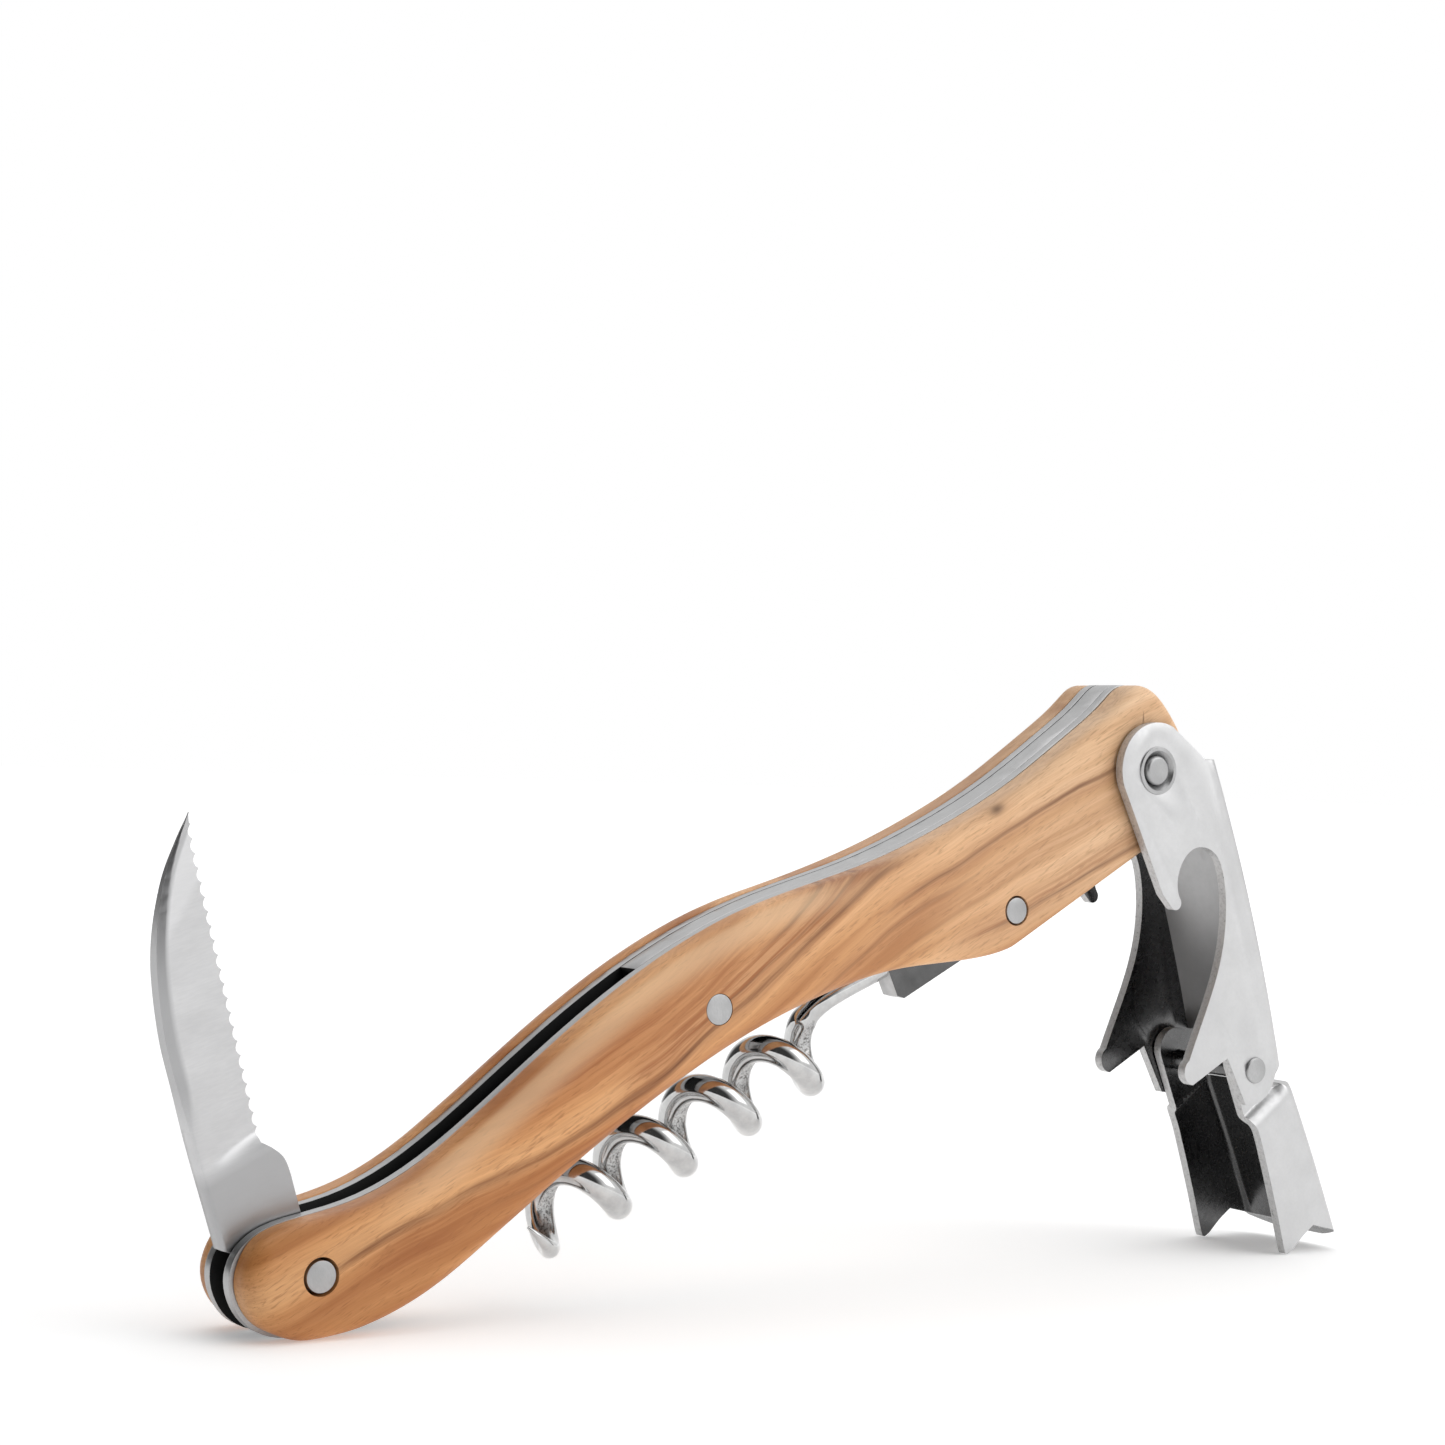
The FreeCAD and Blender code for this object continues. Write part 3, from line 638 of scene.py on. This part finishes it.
def mark_ridge_highlight(piece):
    """Say how far each point belongs to the edge under the spine, where the wood's colour is lightened as a
    painted highlight along the ridge.
    """
    loop = [HANDLE.local(p) for p in outline("front_scale", -LINER_FACE)]
    edge = resampled(loop, RING_STEPS)
    ahead = np.roll(edge, -1, 0) - np.roll(edge, 1, 0)
    turn = 1 if sum(a[0] * b[1] - b[0] * a[1] for a, b in zip(edge, np.roll(edge, -1, 0))) > 0 else -1
    tops = edge[ahead[:, 0] * turn < 0]
    tops = tops[np.argsort(tops[:, 0])]
    marks = []
    for vertex in piece.data.vertices:
        u, v = HANDLE.local(vertex.co)
        below = float(np.interp(u, tops[:, 0], tops[:, 1])) - v
        along = smooth_step((u - 5) / 12) * smooth_step((68 - u) / 10)
        high = smooth_step((abs(vertex.co.y) / MM - LINER_FACE - 0.8) / 0.8)
        marks.append(along * high * smooth_step(below / 0.5) * smooth_step((3.2 - below) / 2.2))
    paint(piece, "ridge_highlight", marks)


# ======================================= knife ================================================

SPINE = [(-6.2, 3.7), (-6.4, 7.5), (-6.65, 12.0), (-6.85, 17.5), (-6.95, 22.5), (-6.4, 27.8), (-5.4, 31.8),
         (-3.75, 35.6), (-1.85, 38.4), (-0.15, 40.5)]
HEEL = [(1.39, 4.17), (1.3, 6.7), (1.22, 8.5), (0.93, 9.8), (0.13, 10.85), (-0.62, 11.55)]
TANG_R = 4.4
TEETH_FROM = 11.55
TOOTH = 1.27
TOOTH_DEPTH = 0.36
WAIST = (-3.78, 2.255)        # where the tang's round end meets the blade's back
PLUNGE = 9.7                  # z where the grind begins
EDGE_HALF = 0.09              # half thickness of the cutting edge
BLADE_TOP = 40.48


def blade_edge(z):
    """x of the cutting edge: scallops with sharp peaks between them."""
    base = -0.62 + 0.24 * smooth_step((z - TEETH_FROM) / 0.9) + 0.12 * smooth_step((z - 36.5) / 4)
    bite = TOOTH_DEPTH * smooth_step((z - TEETH_FROM) / 1.0) * smooth_step((40.3 - z) / 1.5)
    return base - bite * abs(math.sin(math.pi * (z - TEETH_FROM) / TOOTH)) ** 0.8


def mark_spine_shade(piece):
    """Say how far each point of the blade belongs to the narrow facets beside its spine, which the blade's
    colour darkens as painted shade.
    """
    spine = np.array(curve_through(SPINE, 12))
    marks = []
    for vertex in piece.data.vertices:
        x, z = KNIFE.local(vertex.co)
        inset = x - float(np.interp(z, spine[:, 1], spine[:, 0]))
        marks.append(smooth_step((1.0 - inset) / 0.3) * smooth_step((z - 13) / 6))
    paint(piece, "spine", marks)


def knife():
    """Blade and tang: a hollow plunge, a flat grind towards the edge, scalloped teeth."""
    spine = np.array(curve_through(SPINE, 12))
    heel = np.array(curve_through(HEEL, 8))
    rows = list(np.arange(0.03 - TANG_R, 4.2, 0.3)) + list(np.arange(4.2, TEETH_FROM, 0.2))
    rows += list(np.arange(TEETH_FROM, 40.5, TOOTH / 8)) + [BLADE_TOP]
    waist_x, waist_z = WAIST
    edge_in = np.array([0.0, 0.05, 0.13, 0.28])
    swedge_in = np.array([0.0, 0.30, 0.62, 0.80])
    shares = [i / 14 for i in range(15)]
    front, back = [], []
    for z in rows:
        round_x = math.sqrt(max(0.0, TANG_R ** 2 - z * z)) if abs(z) < TANG_R else 0.0
        if z <= waist_z:
            left = -round_x
        elif z < SPINE[0][1]:
            left = waist_x + (SPINE[0][0] - waist_x) * (z - waist_z) / (SPINE[0][1] - waist_z)
        else:
            left = float(np.interp(z, spine[:, 1], spine[:, 0]))
        if z <= HEEL[0][1]:
            right = max(round_x, 0.0)
        elif z < HEEL[-1][1]:
            right = float(np.interp(z, heel[:, 1], heel[:, 0]))
        else:
            right = max(blade_edge(z), left + 0.02)
        width = right - left
        swedge = smooth_step((z - 13) / 7) * smooth_step((40 - z) / 6)
        steps = edge_in + (swedge_in - edge_in) * swedge
        inset = [min(e, width * 0.2 * k / 3) for k, e in enumerate(steps)]
        xs = [left + e for e in inset] + [left + inset[-1] + (width - inset[-1]) * s for s in shares[1:]]
        ease = np.array([0.16, 0.07, 0.02, 0.0]) + np.array([0.24, 0.19, 0.06, 0.0]) * swedge
        row = []
        for k, x in enumerate(xs):
            plunge = PLUNGE + 0.20 * (x + 6.2)
            ground = smooth_step((z - plunge) / 1.8)
            thin = BLADE_HALF - (BLADE_HALF - EDGE_HALF) * max(0.0, min(1.0, (x + 6.25) / 5.8))
            half = BLADE_HALF + (thin - BLADE_HALF) * ground
            if k < len(ease):
                half -= min(ease[k], half * 0.5)
            row.append((x, max(half, 0.05)))
        front.append([KNIFE.at(x, -h, z) for x, h in row])
        back.append([KNIFE.at(x, h, z) for x, h in reversed(row)])
    rings = [f + b for f, b in zip(front, back)]
    piece = solid_from("knife_blade_ground", rings)
    boolean(piece, [rod(KNIFE, 0, 0, 1.44, -5, 5)])
    mark_spine_shade(piece)
    shade(piece, 38)
    return piece


# ======================================== worm ================================================

COIL_AXIS = -3.05
COIL_R = 2.8
WIRE_R = 1.35
SHANK_R = 1.15
PITCH = 8.0
LAST_BOTTOM = -26.1
TURNS = 4.31
NECK_TURN = 0.37
TIP_R = 0.12
TIP_LENGTH = 11.0
TURN_STEPS = 72
WIRE_SIDES = 28
NECK = [(-22.0, 1.4, -0.3), (-20.6, 0.8, 0.2), (-18.4, 0.3, 0.4), (-15.4, 0.0, 0.35), (-11.5, 0.0, 0.2)]
GROOVE = 0.16                 # depth of the groove on the wire's inner side
TANG = [(-13.9, 1.9), (-13.9, -2.8), (-13.2, -3.4), (-5.0, -3.2)]
TANG_HEAD_R = 4.0


def worm_line():
    """Middle line of the wire as (u, y, v), and the direction to the coil's axis at each point."""
    line = []
    steps = int(round((TURNS + NECK_TURN) * TURN_STEPS))
    for i in range(steps + 1):
        turn = -TURNS + (TURNS + NECK_TURN) * i / steps
        angle = math.pi + 2 * math.pi * turn
        along = LAST_BOTTOM + PITCH * turn
        line.append((along, -COIL_R * math.sin(angle), COIL_AXIS + COIL_R * math.cos(angle)))
    stride = TURN_STEPS // 12
    neck = curve_through([line[-1 - stride], line[-1]] + NECK, 14)[15:]
    return [np.array(p) for p in line] + neck, steps


def worm():
    """The wire: rings along the line, grooved on the inner side, drawn to a point."""
    line, coil_end = worm_line()
    rings, marks = [], []
    travelled = 0.0
    side = None
    for i, spot in enumerate(line):
        ahead = line[min(i + 1, len(line) - 1)] - line[max(i - 1, 0)]
        ahead = ahead / np.linalg.norm(ahead)
        if i <= coil_end:
            side = np.array([0.0, -spot[1], COIL_AXIS - spot[2]])
        side = side - ahead * side.dot(ahead)
        side = side / np.linalg.norm(side)
        other = np.cross(ahead, side)
        if i:
            travelled += np.linalg.norm(spot - line[i - 1])
        radius = TIP_R + (WIRE_R - TIP_R) * math.sin(min(1.0, travelled / TIP_LENGTH) * math.pi / 2)
        drawn = smooth_step((i - coil_end) / 12)
        radius += (SHANK_R - WIRE_R) * drawn
        ring = []
        for k in range(WIRE_SIDES):
            turn = 2 * math.pi * k / WIRE_SIDES
            off = min(turn, 2 * math.pi - turn)
            cut = math.exp(-(off / 0.42) ** 2) * (1 - drawn) * min(1.0, radius / WIRE_R) ** 2
            reach = radius - GROOVE * cut
            p = spot + side * reach * math.cos(turn) + other * reach * math.sin(turn)
            ring.append(WORM.at(p[0], p[1], p[2]))
            marks.append(max(0.0, 1 - (off / 0.75) ** 2) * (1 - drawn))
        rings.append(ring)
    piece = piece_from("worm_wire", [p for ring in rings for p in ring], stitched(rings), merge=False)
    paint(piece, "groove", marks)
    shade(piece, 60)
    return piece


def worm_tang():
    """Flat tang of the worm: round head on the pivot, stepped bar towards the wire."""
    turns = [math.radians(-90 + 229 * i / 40) for i in range(41)]
    points = [(TANG_HEAD_R * math.cos(t), TANG_HEAD_R * math.sin(t)) for t in turns] + TANG
    rings = [[WORM.at(a, y, b) for a, b in points] for y in (-TANG_HALF, TANG_HALF)]
    piece = solid_from("worm_tang", rings)
    boolean(piece, [rod(WORM, 0, 0, 1.34, -5, 5)])
    round_edges(piece, 0.30, 30, 3)
    shade(piece, 32)
    return piece


# ===================================== lower lever ============================================

LOWER_BACK = [(5.5, 22.9), (5.4, 12.5), (5.05, 3.9)]
LOWER_KNEE = (4.6, 20.95)
WEB_TONGUE = 1.7              # how far the arc that ends the web reaches past the flanges
SHOULDER_LEFT = (-2.2, 4.5)
SHOULDER_RIGHT = (3.5, 3.2)
EARS = (-2.2, 2.4, -3.5)
FLANGE_EDGE = [(-2.2, 4.5), (-1.75, 6.4), (-1.9, 10.0), (-2.3, 15.0), (-2.75, 19.4), (-2.6, 20.2),
               (-1.8, 20.2)]
RIM_NOTCH = [(-1.8, 20.2), (0.2, 19.5), (2.0, 19.1)]
BEND = 1.6                    # outer radius of the sheet where it turns into the web
JOGGLE_RUN = 2.2


def back_line(s):
    """t of the bowed web's outer line."""
    points = np.array(curve_through(LOWER_BACK[::-1], 20))
    return float(np.interp(s, points[:, 1], points[:, 0]))


def channel_half_width(t, s):
    """Outer |y| of the lower lever's plates: narrow at the ears, wide below the S-bend."""
    slope = (SHOULDER_RIGHT[1] - SHOULDER_LEFT[1]) / (SHOULDER_RIGHT[0] - SHOULDER_LEFT[0])
    below = s - (SHOULDER_LEFT[1] + (t - SHOULDER_LEFT[0]) * slope) + 0.2
    rise = smooth_step(below / 0.5) * (1 - (1 - min(1.0, max(0.0, below / JOGGLE_RUN))) ** 2.4)
    stepped = EAR_FACE + (LOWER_FACE - EAR_FACE) * rise
    corner = smooth_step((t - 3.0) / 0.9)
    return stepped + (LOWER_FACE - stepped) * corner


def lower_lever_outline():
    """Side view of the lower lever, from the ears round by the web and the rim notch."""
    left, right, top = EARS
    middle, radius = (left + right) / 2, (right - left) / 2
    ear = [(middle - radius * math.cos(math.pi * i / 24), top + radius - radius * math.sin(math.pi * i / 24))
           for i in range(25)]
    web = [tuple(p) for p in curve_through(LOWER_BACK[::-1], 16)]
    notch = [tuple(p) for p in curve_through(RIM_NOTCH[::-1], 8)]
    flange = [tuple(p) for p in curve_through(FLANGE_EDGE[::-1], 8)]
    points = ear + [(right, 3.0), (2.7, 3.35), (3.2, 3.3), (3.5, 3.1), (3.9, 3.0)]
    points += [(t + 0.3, s) for t, s in web] + [LOWER_KNEE] + notch + flange[1:-1] + [(left, 4.2)]
    kept = [points[0]]
    for point in points[1:]:
        if math.dist(point, kept[-1]) > 0.02:
            kept.append(point)
    return kept


def bent_channel():
    """Sheet bent into a channel, longer than needed, with the S-bend in both plates."""
    rows = list(np.arange(-6.0, 2.6, 0.6)) + list(np.arange(2.6, 7.4, 0.12)) + list(np.arange(7.4, 24.5, 0.5))
    outer, inner = [], []
    lefts = list(np.linspace(-4.0, 2.8, 12))
    for s in rows:
        line = back_line(max(3.9, min(22.9, s)))
        path = [(t, -channel_half_width(t, s), 0.0, -1.0) for t in lefts]
        for k in range(9):
            turn = math.pi / 2 * k / 8
            half = channel_half_width(line - BEND, s)
            path.append((line - BEND + BEND * math.sin(turn), -half + BEND - BEND * math.cos(turn),
                         math.sin(turn), -math.cos(turn)))
        path += [(line, y, 1.0, 0.0) for y in (-3.0, 0.0)]
        path += [(t, -y, nt, -ny) for t, y, nt, ny in reversed(path[:-1])]
        outer.append([(t, y, s) for t, y, nt, ny in path])
        inner.append([(nt, ny) for t, y, nt, ny in path])
    # the inside is the outside moved one sheet along its true normal
    count = len(outer[0])
    inside = []
    for r, ring in enumerate(outer):
        moved = []
        for i, (t, y, s) in enumerate(ring):
            up, down = outer[max(r - 1, 0)][i], outer[min(r + 1, len(outer) - 1)][i]
            left, right = ring[max(i - 1, 0)], ring[min(i + 1, count - 1)]
            along = Vector(down) - Vector(up)
            across = Vector(right) - Vector(left)
            normal = along.cross(across).normalized()
            if normal.x * inner[r][i][0] + normal.y * inner[r][i][1] < 0:
                normal = -normal
            p = Vector((t, y, s)) - normal * SHEET
            moved.append(tuple(p))
        inside.append(moved)
    rings = [ring + moved[::-1] for ring, moved in zip(outer, inside)]
    return solid_from("lower_lever_channel", [[LOWER.at(t, y, -s) for t, y, s in ring] for ring in rings])


def beyond_tongue():
    """Everything past the arc that ends the web."""
    end = LOWER_BACK[0][1]
    radius = (LOWER_FACE ** 2 + WEB_TONGUE ** 2) / (2 * WEB_TONGUE)
    arc = [(y, end - radius + math.sqrt(radius ** 2 - y ** 2)) for y in np.linspace(8.0, -8.0, 41)]
    around = [(-8.0, end + 3), (8.0, end + 3)] + arc
    rings = [[LOWER.at(t, y, -s) for y, s in around] for t in (3.0, 9.0)]
    return solid_from("cutter", rings)


def lower_lever():
    """The bent channel, cut to its side view, with a gap between the ears and the elbow's hole."""
    piece = bent_channel()
    points = lower_lever_outline()
    rings = [[LOWER.at(t, y, -s) for t, s in points] for y in (-9, 9)]
    boolean(piece, [solid_from("cutter", rings)], "INTERSECT")
    # the ears have no web between them
    low, high = -6.5, 2.95
    block = [[LOWER.at(t, y, -s) for t, s in ((2.42, low), (9, low), (9, high + 0.85), (3.9, high + 0.85),
                                             (3.3, high + 0.1), (2.42, high))] for y in (-9, 9)]
    clear = solid_from("cutter", block)
    boolean(piece, [clear, beyond_tongue(), rod(LOWER, 0, 0, 1.1, -9, 9)])
    round_edges(piece, 0.13, 50, 2)
    shade(piece, 40)
    return piece


def mark_inside(piece, place, back_t):
    """Give a channel's sheared rims (1), the inside of its plates (2) and of its web (3) their materials;
    those inside are darker copies of the steel, painted shade.
    """
    for face in piece.data.polygons:
        t, s = place.local(face.center)
        s = -s
        y = face.center.y / MM
        normal = face.normal
        along = normal.x * place.cos + normal.z * place.sin
        if normal.y * y < -0.001 and abs(normal.y) > 0.85:
            face.material_index = 2
        elif normal.y * y < -0.001 and along < -0.2 and abs(normal.y) > 0.35 and t > back_t(s):
            face.material_index = 3
        elif abs(normal.y) < 0.35 and along < -0.3 and t > back_t(s):
            face.material_index = 3
        elif abs(normal.y) < 0.45 and t < back_t(s):
            face.material_index = 1


def mark_slot(piece, slot_wall):
    """Give the faces that line the handle's slot their dark material (1), painted shade."""
    for face in piece.data.polygons:
        inward = face.center.y * face.normal.y < 0 and abs(face.center.y / MM) < LINER_FACE
        if slot_wall(face, inward):
            face.material_index = 1


# ======================================= scene ================================================

SPRING_SHOULDER = 41.5        # u where the spring's top comes up flush and closes the slot
LENS = 74.258
CAMERA_PLACE = (-0.170325, -0.23136, 0.05070)
CAMERA_AHEAD = (0.56894, 0.82230, 0.01134)
CAMERA_UP = (-0.03386, 0.00964, 0.99938)
LAMP_TARGET = (0, 0, 0.03)


def upper_web_line(s):
    """t left of which a face of the upper lever isn't part of its web."""
    return 7.0


def lower_web_line(s):
    """The same for the lower lever, whose web is bowed."""
    return back_line(max(3.9, min(21.0, s))) - 1.35


def build():
    """Every piece, its body, its CAD nodes and its materials."""
    wood_material = olive_wood()
    liner_material = steel("liner_steel", 0.47, 0.34, HANDLE_LEAN, (0.05, 1.6, 1.6), 0.04, 0.006, 0.10)
    lever_material = steel("lever_steel", 0.62, 0.34, UPPER_LEVER_LEAN, (0.5, 0.5, 0.5), 0.03, 0.003, 0.03)
    even = (0.3, 0.3, 0.3)
    # darker copies of the lever steel for the inside of the channels and their webs: painted shade
    channel_shade_material = steel("channel_inside_shade_steel", 0.14, 0.26, UPPER_LEVER_LEAN, even, 0.03, 0.0006, 0.01)
    web_shade_material = steel("web_inside_shade_steel", 0.46, 0.40, UPPER_LEVER_LEAN, even, 0.03, 0.0006, 0.01)
    # near-black steel inside the handle's slot: painted shade
    slot_shade_material = steel("slot_shade_steel", 0.03, 0.55, HANDLE_LEAN, (0.5, 1.0, 1.0), 0.05, 0.004)
    blade_material = blade_steel()
    pin_material = steel("pin_steel", 0.49, 0.38, 20, (1.5, 1.5, 0.5), 0.10, 0.006, 0.12)
    forged_material = steel("forged_edge_steel", 0.64, 0.40, HANDLE_LEAN, (2.0, 2.0, 2.0), 0.20, 0.02, 0.10)
    # a dark copy of the tang's steel for its flat faces: painted shade
    tang_shade_material = steel("tang_face_shade_steel", 0.15, 0.32, HANDLE_LEAN, (1.0, 1.0, 1.0), 0.18, 0.01, 0.12)
    rim_material = sheared_steel()
    wire_material = worm_steel()

    for name, side in (("front", -1), ("back", 1)):
        scale = wood(name + "_wood_scale", side)
        drill_wood(scale)
        finish_piece(scale, "handle", [name + "_scale"], "olive_wood", wood_material)
        liner = refined(name + "_liner", name + "_liner_plate", 0.09)
        finish_piece(liner, "handle", [name + "_liner"], "satin_steel", liner_material, slot_shade_material)
        mark_slot(liner, lambda face, inward: inward and abs(face.normal.y) > 0.25)

    spring = refined("backspring", "backspring_bar", 0.10)
    finish_piece(spring, "backspring", ["backspring"], "satin_steel", liner_material, slot_shade_material)
    # the spring's faces left of its shoulder, down in the slot, take that painted shade as well
    mark_slot(spring, lambda face, inward: HANDLE.local(face.center)[0] < SPRING_SHOULDER)

    finish_piece(knife(), "knife", ["knife_blade"], "blade_steel", blade_material)
    wire = worm()
    finish_piece(wire, "worm", ["worm"], "worm_steel", wire_material)
    tang = worm_tang()
    finish_piece(tang, "worm", [], "worm_steel", forged_material, tang_shade_material)
    # the tang's flat faces take the dark copy: painted shade
    for face in tang.data.polygons:
        if abs(face.normal.y) > 0.9:
            face.material_index = 1

    upper = refined("upper_lever", "upper_lever_sheet", 0.13, 40)
    finish_piece(upper, "upper_lever", ["upper_lever"], "lever_steel", lever_material, rim_material,
                 channel_shade_material, web_shade_material)
    mark_inside(upper, UPPER, upper_web_line)
    lower = lower_lever()
    finish_piece(lower, "lower_lever", ["lower_lever"], "lever_steel", lever_material, rim_material,
                 channel_shade_material, channel_shade_material)
    mark_inside(lower, LOWER, lower_web_line)

    for node in ("knife_pivot_pin", "middle_pin", "worm_pivot_pin"):
        pin = refined(node, node + "_rod", 0.10)
        finish_piece(pin, "handle", [node], "pin_steel", pin_material)
    elbow = refined("elbow_pin", "elbow_rivet", 0.08)
    finish_piece(elbow, "upper_lever", ["elbow_pin"], "pin_steel", pin_material, channel_shade_material)
    # the rivet's shank between the plates takes the channel's darker steel: painted shade
    for face in elbow.data.polygons:
        if abs(face.normal.y) < 0.2 and abs(face.center.y) / MM < LOWER_FACE:
            face.material_index = 1
    for node in ("lever_pivot_pin", "lever_pivot_spacer", "front_scale_pins", "back_scale_pins",
                 "front_lever_washer", "back_lever_washer", "front_lever_collar", "back_lever_collar"):
        NODES[node].data.materials.clear()
        NODES[node].data.materials.append(pin_material)


def world_light():
    """White all round but for two dark lobes on the left. The camera itself sees plain white."""
    world = bpy.data.worlds.new("studio")
    bpy.context.scene.world = world
    world.use_nodes = True
    tree = world.node_tree
    tree.nodes.clear()
    link = tree.links.new
    way = tree.nodes.new("ShaderNodeTexCoord").outputs["Generated"]

    def lobe(direction, low, high):
        dot = tree.nodes.new("ShaderNodeVectorMath")
        dot.operation = "DOT_PRODUCT"
        link(way, dot.inputs[0])
        dot.inputs[1].default_value = Vector(direction).normalized()
        span = tree.nodes.new("ShaderNodeMapRange")
        span.interpolation_type = "SMOOTHSTEP"
        link(dot.outputs["Value"], span.inputs["Value"])
        for key, value in (("From Min", low), ("From Max", high), ("To Min", 1.0), ("To Max", 0.06)):
            span.inputs[key].default_value = value
        return span.outputs[0]

    product = tree.nodes.new("ShaderNodeMath")
    product.operation = "MULTIPLY"
    link(lobe((-0.75, -0.62, 0.22), 0.45, 0.86), product.inputs[0])
    link(lobe((-0.85, 0.50, 0.25), 0.40, 0.90), product.inputs[1])
    studio = tree.nodes.new("ShaderNodeBackground")
    link(product.outputs[0], studio.inputs["Color"])
    studio.inputs["Strength"].default_value = 0.95
    paper = tree.nodes.new("ShaderNodeBackground")
    paper.inputs["Color"].default_value = (1, 1, 1, 1)
    seen = tree.nodes.new("ShaderNodeLightPath").outputs["Is Camera Ray"]
    mix = tree.nodes.new("ShaderNodeMixShader")
    link(seen, mix.inputs[0])
    link(studio.outputs[0], mix.inputs[1])
    link(paper.outputs[0], mix.inputs[2])
    link(mix.outputs[0], tree.nodes.new("ShaderNodeOutputWorld").inputs[0])


def softbox(name, place, size, power):
    """A square lamp that looks at the middle of the tool."""
    light = bpy.data.lights.new(name, "AREA")
    light.shape = "SQUARE"
    light.size = size
    light.energy = power
    lamp = bpy.data.objects.new(name, light)
    bpy.context.scene.collection.objects.link(lamp)
    lamp.location = place
    lamp.rotation_euler = (Vector(LAMP_TARGET) - Vector(place)).to_track_quat("-Z", "Y").to_euler()


def floor():
    """Pale paper floor that glows, more weakly near the tool than far off: painted light that lifts it to
    white, so that only the contact shadows show.
    """
    reach = 4.0
    corners = [(-reach, -reach, 0), (reach, -reach, 0), (reach, reach, 0), (-reach, reach, 0)]
    sheet = piece_from("paper_floor", corners, [(0, 1, 2, 3)])
    s = Shader("paper")
    s.main.inputs["Base Color"].default_value = (0.86, 0.86, 0.86, 1)
    s.main.inputs["Emission Color"].default_value = (1, 1, 1, 1)
    away = s.add("ShaderNodeVectorMath", operation="LENGTH")
    s.link(s.place, away.inputs[0])
    # the floor's glow, painted light, grows with distance from the tool
    s.link(s.span(away.outputs["Value"], 0.12, 0.60, 0.31, 0.60), s.main.inputs["Emission Strength"])
    s.main.inputs["Specular IOR Level"].default_value = 0.0
    s.link(s.span(s.noise(s.place, 300.0), 0.3, 0.7, 0.9, 1.0), s.main.inputs["Roughness"])
    sheet.data.materials.append(s.material)


def camera():
    """Long lens, low in front and to the left, with a slight roll."""
    ahead = Vector(CAMERA_AHEAD).normalized()
    up = Vector(CAMERA_UP)
    right = ahead.cross(up).normalized()
    up = right.cross(ahead)
    lens = bpy.data.cameras.new("camera")
    lens.lens = LENS
    lens.sensor_width = 36.0
    lens.clip_start = 0.01
    eye = bpy.data.objects.new("camera", lens)
    bpy.context.scene.collection.objects.link(eye)
    turn = Matrix((right, up, -ahead)).transposed().to_4x4()
    eye.matrix_world = Matrix.Translation(CAMERA_PLACE) @ turn
    bpy.context.scene.camera = eye


build()
floor()
world_light()
softbox("key", (0.35, -0.45, 0.42), 0.5, 0.9)
softbox("top", (0.05, 0.10, 0.75), 0.7, 1.2)
camera()
bpy.context.scene.view_settings.view_transform = "Standard"
